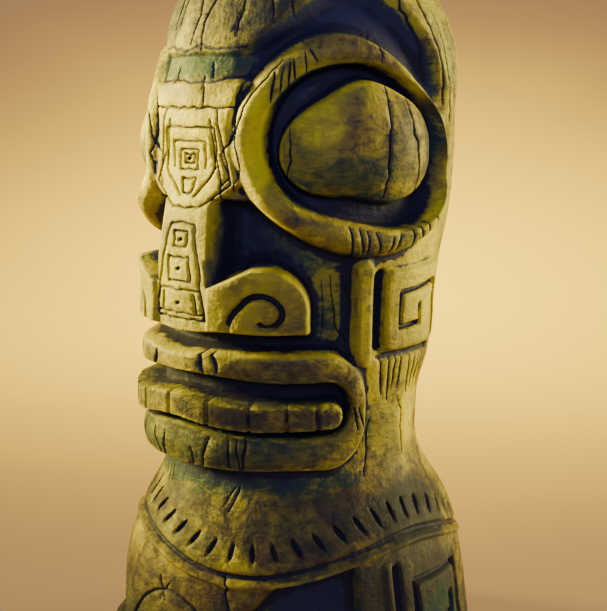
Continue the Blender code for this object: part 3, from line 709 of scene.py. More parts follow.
def carve_chest(radius, angle, side, height):
    """Collar of notches, raised band, sunk panels and side spirals."""
    ring = collar_height(angle)
    step = 360.0 / COLLAR_NOTCHES
    beside = (angle + 0.5 * step) % step - 0.5 * step
    up = height - ring
    lean = NOTCH_LEAN * np.sin(np.radians(COLLAR_WAVES * (angle - COLLAR_PEAK_ANGLE)))
    beside = beside - lean * up
    lens = 1.0 - (2.0 * beside / NOTCH_WIDTH) ** 2 - (2.0 * up / NOTCH_LENGTH) ** 2
    radius = radius - NOTCH_DEPTH * ease(lens, -NOTCH_RIM, NOTCH_FLOOR)

    radius = radius - groove(np.abs(height - ring + BAND_DROP), BAND_WIDTH, BAND_DEPTH)
    bead = ring - BEAD_DROP
    radius = radius + groove(np.abs(height - bead), BEAD_WIDTH, BEAD_RAISE)
    below = inside(bead - 0.5 * BEAD_WIDTH - height, PANEL_EDGE)
    radius = radius - PANEL_DEPTH * below
    start = HOLLOW_START + HOLLOW_SLANT * (height - HOLLOW_TOP)
    hollow_inside = np.minimum(side - start, HOLLOW_END - side)
    hollow_inside = np.minimum(hollow_inside, height - HOLLOW_BOTTOM)
    radius = radius - HOLLOW_DEPTH * inside(hollow_inside, HOLLOW_WALL) * below
    panel = below * inside(height - HOLLOW_BOTTOM, PANEL_FOOT_EDGE)
    ridge = groove(np.abs(side - SIDE_RIDGE_ANGLE), 2.0 * SIDE_RIDGE_HALF, SIDE_RIDGE_RAISE)
    slot = groove(np.abs(side - SIDE_SLOT_ANGLE), 2.0 * SIDE_SLOT_HALF, SIDE_SLOT_DEPTH)
    radius = radius + (ridge - slot) * panel * inside(SIDE_SLOT_TOP - height, SIDE_SLOT_END)
    to_spiral = to_path(side - SIDE_SPIRAL_ANGLE, height - SIDE_SPIRAL_HEIGHT, side_spiral())
    return radius - groove(to_spiral, SIDE_SPIRAL_WIDTH, SIDE_SPIRAL_DEPTH)


def carved_radius(angle, height):
    """Radius of the finished surface, all in parts and degrees from the middle of the face."""
    side = np.abs(angle)
    bare = log_radius(angle, height)
    radius = cut_face(bare, side, height)
    radius = carve_nose(radius, side, height)
    radius = carve_eye(radius, bare, side, height)
    radius = carve_mouth(radius, side, height)
    radius = carve_ear(radius, side, height)
    return carve_chest(radius, angle, side, height)


# Grid the bust is rolled up from, and what is kept of it
SEGMENTS = 900
RINGS = 800
FOOT_RINGS = 8
DOME_RING_SHARE = 0.17
DOME_RING_CHANGE = 0.68
MERGE_GAP = 1.0e-6
TRIANGLES_KEPT = 188000
SHADE_ANGLE = math.radians(48.0)
FAR = 1.0e6
FULL_TURN = 360.0
HALF_TURN = 180.0

# Mean radius of the log, to turn degrees into parts, and that of the face
MEAN_RADIUS = 56.0
FACE_RADIUS = 55.0
DEGREES_IN_RADIAN = 57.3
FOOT_FADE = 14.0

# Whole numbers that scramble the noise's lattice
HASH_COLUMN = 374761393
HASH_ROW = 668265263
HASH_LAYER = 2147483647
HASH_SEED = 1274126177
HASH_MASK = 0xFFFFFFFF
HASH_STEPS = 0xFFFF
NOISE_SHIFT = 1000.0

# Brushed patches on both halves of the bust: angle, height, half width, half height and
# strength of each. Wash is dark wash deepened with painted shade, smoke is painted shade where
# the bust lies in shade, brown is brown glaze laid on more at the sides and partly painted shade,
# bright is painted light where the lamps fall, and rubbed is where wash and painted shade thin.
PATCHES = {
    "wash": (
        (27, 160, 9, 10, 1), (14, 158, 3.5, 18, 0.62), (50, 140, 11, 16, 0.34),
        (60, 160, 14, 5, 0.40), (64, 176, 30, 4, 0.50), (44, 182, 6, 12, 0.35),
        (48, 36, 14, 16, 0.9), (40, 80, 32, 6, 0.50), (10, 221.5, 30, 5, 0.30),
        (101, 206, 5, 20, 0.60), (73, 96, 4, 12, 0.30), (34, 115, 26, 3, 0.35),
        (36, 97, 26, 3, 0.30), (96, 26, 20, 14, 0.35),
    ),
    "smoke": (
        (42, 106, 28, 22, 0.60), (14, 106, 14, 22, 0.50), (8, 97, 24, 6, 0.45),
        (16, 86, 28, 9, 0.70), (66, 180, 32, 9, 0.40), (78, 194, 10, 16, 0.75), (97, 200, 8, 22, 1),
        (70, 228, 34, 7, 0.30), (52, 66, 26, 13, 0.70), (88, 64, 28, 14, 1), (86, 72, 12, 18, 0.60),
        (0, 4, 400, 38, 0.9), (80, 40, 34, 24, 1), (0, 254, 26, 22, 0.55), (26, 244, 26, 20, 0.85),
        (5, 221.5, 40, 5.5, 0.95), (4, 240, 16, 16, 0.45), (2, 94, 9, 9, 0.65),
        (62, 186, 18, 6, 0.60), (30, 114.5, 30, 3, 0.55), (0, 64, 60, 16, 0.35),
        (160, 180, 40, 70, 0.30),
    ),
    "green": (
        (0, 221, 26, 5, 0.9), (44, 190, 12, 14, 0.8), (20, 92, 50, 7, 0.9), (30, 112, 40, 6, 0.8),
        (82, 100, 14, 18, 0.5), (55, 140, 12, 22, 0.6), (84, 164, 18, 6, 0.7), (20, 78, 34, 7, 0.7),
        (92, 124, 18, 4, 0.6), (112, 232, 14, 26, 0.5), (10, 60, 26, 10, 0.35),
        (62, 186, 20, 7, 0.9), (4, 94, 14, 9, 0.8), (30, 114.5, 34, 4, 0.8),
    ),
    "brown": (
        (0, 250, 40, 20, 0.45), (10, 66, 40, 12, 0.45), (72, 226, 32, 9, 1),
        (98, 200, 14, 24, 0.65), (60, 168, 26, 7, 0.75), (72, 196, 18, 15, 0.65),
        (40, 140, 10, 12, 0.6), (60, 114, 14, 11, 0.7), (36, 104, 24, 9, 0.85),
        (36, 119, 26, 6, 0.8), (38, 90, 26, 7, 0.6), (34, 244, 14, 16, 0.6), (78, 70, 42, 15, 1),
        (90, 36, 40, 28, 1), (20, 40, 30, 14, 0.9), (45, 60, 24, 12, 0.75), (2, 26, 40, 20, 0.7),
        (150, 190, 20, 60, 0.45), (170, 60, 40, 40, 0.6),
    ),
    "painted_light": (
        (30, 196, 6, 24, 1), (20, 206, 14, 8, 0.9), (0, 190, 22, 24, 0.9), (0, 150, 14, 20, 0.7),
        (14, 140, 12, 12, 0.5), (34, 144, 14, 12, 0.50), (50, 203, 10, 12, 0.65),
        (56, 166, 22, 5, 0.50), (24, 50, 9, 8, 0.60), (100, 150, 16, 30, 0.8),
        (102, 98, 14, 16, 0.8), (74, 114, 5, 14, 0.6),
    ),
    "rubbed": (
        (54, 136, 11, 24, 0.55), (20, 162, 8, 12, 0.35), (34, 164, 9, 6, 0.35),
    ),
}
PATCH_FLAT = 0.45
PATCH_END = 1.35

# Painted shade under the brow: where the dark band starts and ends
BROW_SHADE_LIFT = 3.0
BROW_SHADE_WALL = 5.0
BROW_SHADE_START = (18.0, 34.0)
BROW_SHADE_END = (96.0, 110.0)
BROW_SHADE_FOOT = (186.0, 206.0)
BROW_SHADE_GAP = 0.6
BROW_SHADE_RIM_WALL = 3.0

# Widths in parts over which the radius is smoothed, from fine to far, and the differences
# between them, from none to full, that gather dark wash with painted shade, ink, or worn glaze with
# painted highlights
BLURS = (0.6, 1.1, 1.8, 4.5, 11.0)
WASH_AND_SHADE_IN_FORMS = (0.5, 4.2)
WASH_AND_SHADE_IN_HOLLOWS = (1.2, 6.5)
WASH_AND_SHADE_BELOW_LOG = (2.2, 7.0)
RAISED = (-0.2, -1.6)
WASH_AND_SHADE_RAISED_LOSS = 0.6
CREASE = (0.10, 0.55)
CREASE_INK = 0.9
EDGE = (0.13, 0.5)
EDGE_FULL = 0.62
EDGE_SMOKE_AND_SHADE_LOSS = 0.3


def mirror(line):
    """The same line on the other half of the face."""
    return tuple((-angle, height) for angle, height in line)


def ring_heights():
    """Heights of the rings of points from the foot to the top of the dome."""
    wall = RINGS - FOOT_RINGS
    dome = int(wall * DOME_RING_SHARE)
    change = DOME_START + DOME_RING_CHANGE * DOME_HEIGHT
    lower = np.linspace(0.0, change, wall - dome, endpoint=False)
    turn = np.linspace(math.asin(DOME_RING_CHANGE), 0.5 * math.pi, dome + 1)
    return np.concatenate((lower, DOME_START + DOME_HEIGHT * np.sin(turn)))


def lattice(seed, column, row, layer):
    """A fixed pseudo-random number from 0 to 1 for each whole-numbered place."""
    mixed = column * HASH_COLUMN + row * HASH_ROW + layer * HASH_LAYER + seed * HASH_SEED
    mixed = np.bitwise_and(mixed, HASH_MASK)
    mixed = np.bitwise_and((mixed ^ (mixed >> 13)) * HASH_SEED, HASH_MASK)
    mixed = mixed ^ (mixed >> 16)
    return np.bitwise_and(mixed, HASH_STEPS) / float(HASH_STEPS)


def soft_noise(points, length, seed):
    """Smooth noise from -1 to 1 in space, with bumps of one length."""
    place = points / length + NOISE_SHIFT
    whole = np.floor(place).astype(np.int64)
    share = place - whole
    share = share * share * (3.0 - 2.0 * share)
    total = 0.0
    for column in (0, 1):
        for row in (0, 1):
            for layer in (0, 1):
                weight = np.abs(1.0 - column - share[..., 0])
                weight = weight * np.abs(1.0 - row - share[..., 1])
                weight = weight * np.abs(1.0 - layer - share[..., 2])
                corner = lattice(seed, whole[..., 0] + column, whole[..., 1] + row, whole[..., 2] + layer)
                total = total + weight * corner
    return 2.0 * total - 1.0


def blurred(field, columns, rows):
    """Field smoothed by a bell curve of a width in columns and in rows."""
    wave = np.fft.rfftfreq(field.shape[1])
    spread = np.exp(-2.0 * (math.pi * wave * columns) ** 2)
    field = np.fft.irfft(np.fft.rfft(field, axis=1) * spread, n=field.shape[1], axis=1)
    margin = int(3 * rows) + 1
    tall = np.concatenate((np.repeat(field[:1], margin, 0), field, np.repeat(field[-1:], margin, 0)))
    wave = np.fft.rfftfreq(tall.shape[0])
    spread = np.exp(-2.0 * (math.pi * wave * rows) ** 2)[:, None]
    tall = np.fft.irfft(np.fft.rfft(tall, axis=0) * spread, n=tall.shape[0], axis=0)
    return tall[margin:-margin]


class CutSurface:
    """Sheet of angles and heights with the depth of the small cuts drawn on it."""

    def __init__(self, angles, heights):
        self.angles = angles
        self.heights = heights
        self.depth = np.zeros((len(heights), len(angles)))
        self.ink = np.zeros_like(self.depth)
        self.scale = math.radians(MEAN_RADIUS)

    def cut(self, kind, number, points, width, depth, ink=1.0):
        """Cut one numbered groove of a kind along a path of angles and heights."""
        taper, wander, seed = CUT_KINDS[kind]
        line = self.wandering(points, wander, seed + number)
        columns = np.array([point[0] for point in line])
        rows = np.array([point[1] for point in line])
        margin = CUT_MARGIN_SHARE * width + CUT_MARGIN
        beside = margin / self.scale
        left, right = np.searchsorted(self.angles, (columns.min() - beside, columns.max() + beside))
        low, high = np.searchsorted(self.heights, (rows.min() - margin, rows.max() + margin))
        if right <= left or high <= low:
            return
        angle, height = np.meshgrid(self.angles[left:right], self.heights[low:high])
        nearest = np.full(angle.shape, FAR)
        along = np.zeros(angle.shape)
        total = len(line) - 1
        for place in range(total):
            start_x, start_y = line[place][0] * self.scale, line[place][1]
            run_x = line[place + 1][0] * self.scale - start_x
            run_y = line[place + 1][1] - start_y
            square = max(run_x * run_x + run_y * run_y, TINY)
            across = angle * self.scale - start_x
            up = height - start_y
            share = np.clip((across * run_x + up * run_y) / square, 0.0, 1.0)
            gap = np.hypot(across - share * run_x, up - share * run_y)
            nearer = gap < nearest
            nearest = np.where(nearer, gap, nearest)
            along = np.where(nearer, (place + share) / total, along)
        narrow = 1.0 - taper * (2.0 * along - 1.0) ** 2
        share = 1.0 - ease(nearest / (width * narrow), CUT_FLOOR, CUT_LIP)
        here = self.depth[low:high, left:right]
        self.depth[low:high, left:right] = np.maximum(here, depth * narrow * share)
        here = self.ink[low:high, left:right]
        self.ink[low:high, left:right] = np.maximum(here, ink * share * min(1.0, depth / FULL_INK_DEPTH))

    def wandering(self, points, wander, seed):
        """Path with more points, shaken a little to look hand cut."""
        if wander == 0.0:
            return list(points)
        shaken = []
        draw = np.random.default_rng(WANDER_SEED + seed)
        for (x_start, y_start), (x_end, y_end) in zip(points[:-1], points[1:]):
            run = math.hypot((x_end - x_start) * self.scale, y_end - y_start)
            steps = max(1, int(run / WANDER_STEP))
            for step in range(steps):
                share = step / steps
                shake = draw.normal(0.0, wander, 2)
                shaken.append((
                    x_start + (x_end - x_start) * share + shake[0] / self.scale,
                    y_start + (y_end - y_start) * share + shake[1],
                ))
        shaken.append(points[-1])
        return shaken


def carve_lines(sheet, depth):
    """Tool lines on the nose and the brow band, cracks, rows of cuts and the arch on the chest."""
    for number, line in enumerate(NOSE_LINES):
        for half in (line, mirror(line)):
            sheet.cut("nose", number, half, NOSE_LINE_WIDTH, NOSE_LINE_DEPTH * depth, NOSE_LINE_INK)
    for height in NOSE_DOTS:
        dot = ((-NOSE_DOT_HALF, height), (NOSE_DOT_HALF, height + NOSE_DOT_LIFT))
        sheet.cut("dot", 0, dot, NOSE_DOT_WIDTH, NOSE_DOT_DEPTH * depth)
    for number, line in enumerate(BAND_LINES):
        sheet.cut("band", number, line, BAND_LINE_WIDTH, BAND_LINE_DEPTH * depth)
    for number, (width, deep, *line) in enumerate(CRACKS):
        sheet.cut("crack", number, line, width, deep * depth)
        if number % 3:
            lift = FAR_CRACK_LIFT * math.sin(FAR_CRACK_PHASE * number)
            stretch = 1.0 + FAR_CRACK_STRETCH * math.sin(number)
            other = [(-angle * stretch, height + lift) for angle, height in line]
            sheet.cut("far crack", number, other[::-1], width, deep * depth)
    for number, (count, width, deep, *ends) in enumerate(CUT_ROWS):
        draw = np.random.default_rng(ROW_SEED + number)
        for side in (1.0, -1.0):
            for place in range(count):
                cut_in_row(sheet, draw, side, place, (count, width, deep * depth, *ends))
    arch = []
    for step in range(ARCH_STEPS + 1):
        turn = math.radians(ARCH_START_TURN + ARCH_SPAN * step / ARCH_STEPS)
        reach = ARCH_REACH / sheet.scale * ARCH_SQUEEZE
        arch.append((ARCH_ANGLE + reach * math.cos(turn), ARCH_HEIGHT + ARCH_REACH * math.sin(turn)))
    sheet.cut("arch", 0, arch, ARCH_WIDTH, ARCH_DEPTH * depth)


def cut_in_row(sheet, draw, side, place, row):
    """One of a row of like cuts, a little off its even place."""
    count, width, depth, top_first, foot_first, top_last, foot_last = row
    share = place / (count - 1) + draw.normal(0.0, ROW_PLACE_STRAY / count)
    top = [first + (last - first) * share for first, last in zip(top_first, top_last)]
    foot = [first + (last - first) * share for first, last in zip(foot_first, foot_last)]
    foot[0] += draw.normal(0.0, ROW_ANGLE_STRAY)
    foot[1] += draw.normal(0.0, ROW_HEIGHT_STRAY)
    line = ((side * top[0], top[1]), (side * foot[0], foot[1]))
    sheet.cut("row", place, line, width, depth * draw.uniform(*ROW_DEPTHS))


def back_cracks(sheet, depth):
    """Plain drying cracks down the back and the hidden side."""
    draw = np.random.default_rng(BACK_SEED)
    for number in range(BACK_CRACKS):
        angle = draw.uniform(*BACK_ANGLES)
        angle = angle - FULL_TURN if angle > HALF_TURN else angle
        height = draw.uniform(*BACK_HEIGHTS)
        length = draw.uniform(*BACK_LENGTHS)
        line = [
            (angle + draw.normal(0.0, BACK_STRAY), height + length * step / BACK_STEPS)
            for step in range(BACK_STEPS + 1)
        ]
        sheet.cut("back", number, line, draw.uniform(*BACK_WIDTHS), draw.uniform(*BACK_DEPTHS) * depth)


def rim_roll(angle, height):
    """Extra roundness of the rim of the eye."""
    across = np.abs(angle) - EYE_ANGLE
    up = height - EYE_HEIGHT
    rim_inside = outline(across, up, RIM_OUTLINE)
    socket_inside = outline(across, up, SOCKET_OUTLINE)
    middle = 1.0 - np.clip(np.abs(rim_inside + socket_inside) / RIM_ROLL_REACH, 0.0, 1.0) ** 2
    on_rim = inside(rim_inside, RIM_EDGE) * (1.0 - inside(socket_inside, SOCKET_WALL))
    return (RIM_ROLL * middle - RIM_ROLL_LOSS) * on_rim


def carved_sheet(angles, heights, sizes):
    """Radius of the finished surface on a sheet, and the share of ink in its cuts."""
    angle, height = np.meshgrid(angles, heights)
    turn = np.radians(angle)
    rough = carved_radius(angle, height)
    points = np.stack((rough * np.sin(turn), -rough * np.cos(turn), height), axis=-1)
    above_foot = ease(height, 0.0, FOOT_FADE)
    sway = sizes.sway * above_foot
    side_sway = soft_noise(points, SWAY_LENGTH, 1) * sway * DEGREES_IN_RADIAN / MEAN_RADIUS
    up_sway = soft_noise(points, SWAY_LENGTH, 2) * sway
    radius = carved_radius(angle + side_sway, height + up_sway)
    wave = SURFACE_WAVE * soft_noise(points, SURFACE_WAVE_LENGTH, 3)
    wave = wave + FACET_WAVE * soft_noise(points, FACET_LENGTH, 4)
    radius = radius + wave * sizes.unevenness * above_foot
    radius = radius + rim_roll(angle + side_sway, height + up_sway)
    sheet = CutSurface(angles, heights)
    carve_lines(sheet, sizes.line_depth)
    back_cracks(sheet, sizes.line_depth)
    return radius - sheet.depth, sheet.ink


def brushed(angle, height, patches):
    """Soft oval patches, from 0 to 1, mirrored on both halves of the bust."""
    side = np.abs(angle)
    total = np.zeros_like(angle)
    for middle, level, half_width, half_height, strength in patches:
        across = (side - middle) / half_width
        up = (height - level) / half_height
        total = np.maximum(total, strength * (1.0 - ease(np.hypot(across, up), PATCH_FLAT, PATCH_END)))
    return total


def painted_brow_shade(side, height):
    """Painted shade: a dark band from the edge of the forehead down to the rim of the eye, where the brow
    shades the face.
    """
    band = inside(brow_height(side) + BROW_SHADE_LIFT - height, BROW_SHADE_WALL)
    band = band * ease(side, *BROW_SHADE_START)
    band = band * (1.0 - ease(side, *BROW_SHADE_END)) * ease(height, *BROW_SHADE_FOOT)
    rim_inside = outline(side - EYE_ANGLE, height - EYE_HEIGHT, RIM_OUTLINE)
    return band * (1.0 - inside(rim_inside + BROW_SHADE_GAP, BROW_SHADE_RIM_WALL))


def glaze_maps(angles, heights, radius, ink):
    """Where the dark wash pools together with painted shade in hollows, under the brow and under the chin,
    where the glaze breaks at edges with painted highlights, and its patches of painted light and shade.
    """
    angle, height = np.meshgrid(angles, heights)
    column = math.radians(FULL_TURN / len(angles)) * FACE_RADIUS
    row = heights[1] - heights[0]
    fine, soft, near, middle, far = [blurred(radius, width / column, width / row) for width in BLURS]
    painted = {name: brushed(angle, height, rows) for name, rows in PATCHES.items()}
    # Painted shade with the dark wash: hollows, ground below the bare log and the band under the brow are
    # darkened
    wash = ease(middle - fine, *WASH_AND_SHADE_IN_FORMS)
    wash = np.maximum(wash, ease(far - near, *WASH_AND_SHADE_IN_HOLLOWS))
    wash = np.maximum(wash, ease(log_radius(angle, height) - near, *WASH_AND_SHADE_BELOW_LOG))
    wash = np.maximum(wash, painted_brow_shade(np.abs(angle), height))
    wash = np.maximum(wash, painted["wash"])
    raised = ease(middle - near, *RAISED)
    wash = wash * (1.0 - WASH_AND_SHADE_RAISED_LOSS * raised) * (1.0 - painted["rubbed"])
    # Worn edges, partly painted highlights, weaker under the painted shade
    edge = ease(fine - soft, *EDGE) * (EDGE_FULL - EDGE_SMOKE_AND_SHADE_LOSS * painted["smoke"])
    return {
        "wash": wash,
        # Painted light: the bright patches where the lamps fall, on the nose, eye rim, wing and neck, join
        # the worn edges
        "edge": np.maximum(edge, painted["painted_light"]),
        "line": np.maximum(ink, ease(near - fine, *CREASE) * CREASE_INK),
        "green": painted["green"],
        "brown": painted["brown"],
        "smoke": painted["smoke"],
    }


def sampled(field, column, row):
    """Values of a sheet at places between its columns and rows."""
    left = np.floor(column).astype(int)
    low = np.clip(np.floor(row).astype(int), 0, field.shape[0] - 2)
    across = column - left
    up = np.clip(row - low, 0.0, 1.0)
    left = left % field.shape[1]
    right = (left + 1) % field.shape[1]
    lower = mix(field[low, left], field[low, right], across)
    upper = mix(field[low + 1, left], field[low + 1, right], across)
    return mix(lower, upper, up)


def points_of(mesh):
    places = np.empty(3 * len(mesh.vertices), dtype=np.float32)
    mesh.vertices.foreach_get("co", places)
    return places.reshape(-1, 3).astype(np.float64)


def roll_up(bust, angles, heights, radius, part):
    """Roll a flat grid up into the carved skin, and join its seam, its underside and its top."""
    places = points_of(bust.data)
    column = np.rint((places[:, 0] + 0.5) * SEGMENTS).astype(int)
    ring = np.rint((places[:, 1] + 0.5) * RINGS).astype(int)
    turn = np.radians(-HALF_TURN + FULL_TURN * column / SEGMENTS)
    share = np.clip(ring / FOOT_RINGS, 0.0, 1.0)
    row = np.clip(ring - FOOT_RINGS, 0, len(heights) - 1)
    reach = radius[row, column % SEGMENTS] * share * part
    reach = np.where(ring == RINGS, 0.0, reach)
    new = np.stack((reach * np.sin(turn), -reach * np.cos(turn), heights[row] * part), axis=-1)
    bust.data.vertices.foreach_set("co", new.astype(np.float32).ravel())
    bust.data.update()
    bpy.ops.object.mode_set(mode="EDIT")
    bpy.ops.mesh.select_all(action="SELECT")
    bpy.ops.mesh.remove_doubles(threshold=MERGE_GAP)
    bpy.ops.mesh.normals_make_consistent(inside=False)
    bpy.ops.object.mode_set(mode="OBJECT")


def keep_triangles(bust, count):
    """Thin the even mesh, so that its triangles gather where the carving bends."""
    have = 2 * SEGMENTS * RINGS
    thin = bust.modifiers.new("thin", "DECIMATE")
    thin.ratio = count / have
    bpy.ops.object.modifier_apply(modifier=thin.name)


def paint_maps(mesh, angles, heights, maps, part):
    """Store the maps on the points of the finished mesh."""
    places = points_of(mesh)
    angle = np.degrees(np.arctan2(places[:, 0], -places[:, 1]))
    column = (angle + HALF_TURN) * len(angles) / FULL_TURN
    row = np.interp(places[:, 2] / part, heights, np.arange(len(heights)))
    for name, field in maps.items():
        values = sampled(field, column, row)
        layer = mesh.attributes.new(name, "FLOAT", "POINT")
        layer.data.foreach_set("value", values.astype(np.float32))


def clear_selection():
    if bpy.context.object is not None and bpy.context.object.mode != "OBJECT":
        bpy.ops.object.mode_set(mode="OBJECT")
    bpy.ops.object.select_all(action="DESELECT")


class Socket:
    """Output of a node that takes part in sums, with the nodes that it needs added as it goes."""

    def __init__(self, tree, output):
        self.tree = tree
        self.output = output

    def _math(self, operation, first, second):
        node = self.tree.nodes.new("ShaderNodeMath")
        node.operation = operation
        for place, value in enumerate((first, second)):
            if isinstance(value, Socket):
                self.tree.links.new(value.output, node.inputs[place])
            else:
                node.inputs[place].default_value = value
        return Socket(self.tree, node.outputs[0])

    def __add__(self, other):
        return self._math("ADD", self, other)

    __radd__ = __add__

    def __sub__(self, other):
        return self._math("SUBTRACT", self, other)

    def __rsub__(self, other):
        return self._math("SUBTRACT", other, self)

    def __mul__(self, other):
        return self._math("MULTIPLY", self, other)

    __rmul__ = __mul__

    def __truediv__(self, other):
        return self._math("DIVIDE", self, other)

    def __rtruediv__(self, other):
        return self._math("DIVIDE", other, self)

    def clamped(self):
        return self._math("MINIMUM", self._math("MAXIMUM", self, 0.0), 1.0)

    def between(self, low, high):
        """Smooth share from 0 at low to 1 at high."""
        share = ((self - low) / (high - low)).clamped()
        return share * share * (3.0 - 2.0 * share)


class Nodes:
    """Node tree of one material, filled by plain calls."""

    def __init__(self, name):
        self.material = bpy.data.materials.new(name)
        self.material.use_nodes = True
        self.tree = self.material.node_tree
        self.tree.nodes.clear()

    def add(self, kind, settings=None, inputs=None, output=0):
        """Add one node: first its settings, then the values or links of its sockets."""
        node = self.tree.nodes.new(kind)
        for name, value in (settings or {}).items():
            setattr(node, name, value)
        for name, value in (inputs or {}).items():
            socket = node.inputs[name]
            if isinstance(value, Socket):
                self.tree.links.new(value.output, socket)
            elif hasattr(socket.default_value, "__len__") and len(value) < len(socket.default_value):
                socket.default_value = (*value, 1.0)
            else:
                socket.default_value = value
        return Socket(self.tree, node.outputs[output]) if node.outputs else None

    def noise(self, place, scale, detail=3.0, roughness=0.55, distortion=0.0):
        """Grey noise on the object's own coordinates; scale is in bumps a metre."""
        inputs = {"Vector": place, "Scale": scale, "Detail": detail}
        inputs["Roughness"] = roughness
        inputs["Distortion"] = distortion
        return self.add("ShaderNodeTexNoise", None, inputs)

    def ripple(self, place, scale, detail, roughness, distortion, stretch):
        """The same noise spread evenly about nothing, drawn out along the axes by a stretch."""
        if stretch is not None:
            place = self.add("ShaderNodeMapping", None, {"Vector": place, "Scale": stretch})
        return (self.noise(place, scale, detail, roughness, distortion) - 0.5) * NOISE_SPREAD

    def total(self, fields, weights, shift):
        """Weighted sum of fields, and a shift."""
        parts = [fields[name] * weight for name, weight in weights.items()]
        whole = parts[0]
        for one in parts[1:]:
            whole = whole + one
        return whole + shift

    def blend(self, first, second, share):
        """Mix two colours."""
        settings = {"data_type": "RGBA", "clamp_factor": True}
        return self.add("ShaderNodeMix", settings, {0: share, 6: first, 7: second}, 2)

    def finish(self, shader):
        """Join the shader to the material's output."""
        self.add("ShaderNodeOutputMaterial", None, {"Surface": shader})
        return self.material

    def attribute(self, name):
        return self.add("ShaderNodeAttribute", {"attribute_name": name}, None, 2)


# Noise in the glaze: bumps a metre, detail, roughness, distortion and stretch
NOISE_SPREAD = 4.2
GLAZE_NOISE = {
    "clouds": (30.0, 3.0, 0.6, 0.4, None),
    "patches": (75.0, 5.0, 0.65, 0.6, (1.0, 1.0, 0.7)),
    "mottle": (170.0, 4.0, 0.62, 0.5, None),
    "grain": (120.0, 4.0, 0.62, 1.5, (1.0, 1.0, 3.0)),
    "streak": (420.0, 3.0, 0.6, 0.2, (1.0, 1.0, 0.14)),
    "specks": (700.0, 2.0, 0.5, 0.0, None),
}
MAP_NAMES = ("wash", "edge", "line", "green", "brown", "smoke")

# Coats of the ground over the lemon glaze, from the lowest up: colour, strength, shift, and
# the weights of the maps and the noise that lay it on
COATS = (
    ("ochre", 1.0, 0.30, {"patches": 0.45, "clouds": 0.35, "mottle": 0.25}),
    ("olive", 0.75, 0.12, {"mottle": 0.5, "grain": 0.3, "patches": 0.3}),
    # Umber and plum follow the brown patches, partly painted shade toward the sides and shoulders
    ("umber", 0.9, -0.10, {"brown": 0.95, "patches": 0.35, "grain": 0.25, "mottle": 0.25}),
    ("plum", 0.65, -0.12, {"brown": 0.45, "patches": 0.5, "clouds": -0.4, "mottle": 0.2}),
    # Painted shade: dark coat on the patches where the bust lies in shade, at the foot, lips, shoulders,
    # brow and lower eyeball
    ("smoke", 0.96, -0.10, {"smoke": 1.25, "patches": 0.28, "grain": 0.22, "mottle": 0.2}),
    ("moss", 0.9, -0.20, {"green": 0.95, "wash": 0.5, "clouds": 0.3, "grain": 0.3}),
    ("smoke", 0.8, -0.12, {"patches": 0.6, "clouds": -0.35, "grain": 0.3}),
    ("ink", 0.75, -0.14, {"grain": 0.5, "mottle": 0.55, "streak": 0.4}),
)

# Wash with painted shade, lines, worn edges with painted highlights and light, and specks: the
# weights that break them up, and the range over which each comes in
RAGGED = {"wash": 1.0, "patches": 0.16, "mottle": 0.12, "grain": 0.10}
TEAL_RANGE = (0.14, 0.46)
TEAL_STRENGTH = 0.88
DEEP_RANGE = (0.34, 0.74)
LINED = {"line": 1.0, "mottle": 0.15}
LINE_RANGE = (0.20, 0.60)
WORN_AND_LIT = {"edge": 1.0, "mottle": 0.35, "grain": 0.2, "patches": 0.2}
WORN_AND_LIT_RANGE = (0.30, 1.1)
WORN_AND_LIT_DEEP_LOSS = 0.7
WORN_AND_LIT_STRENGTH = 0.85
SPECK_RANGE = (0.86, 1.06)
SPECK_STRENGTH = 0.7
CLAY_RANGE = (0.2, 1.2)

# Roughness and relief of the glaze
ROUGH = 0.60
ROUGHENED = {"smoke": 0.1, "mottle": 0.10, "patches": 0.08, "under": 0.3, "deep": 0.08}
RELIEF = {"mottle": 0.2, "grain": 0.16, "streak": 0.08, "specks": 0.06, "patches": 0.3}
RELIEF_STRENGTH = 0.8
RELIEF_DEPTH = 0.0008
GLAZE_SPECULAR = 0.18
GLAZE_COAT = 0.03
GLAZE_COAT_ROUGHNESS = 0.35


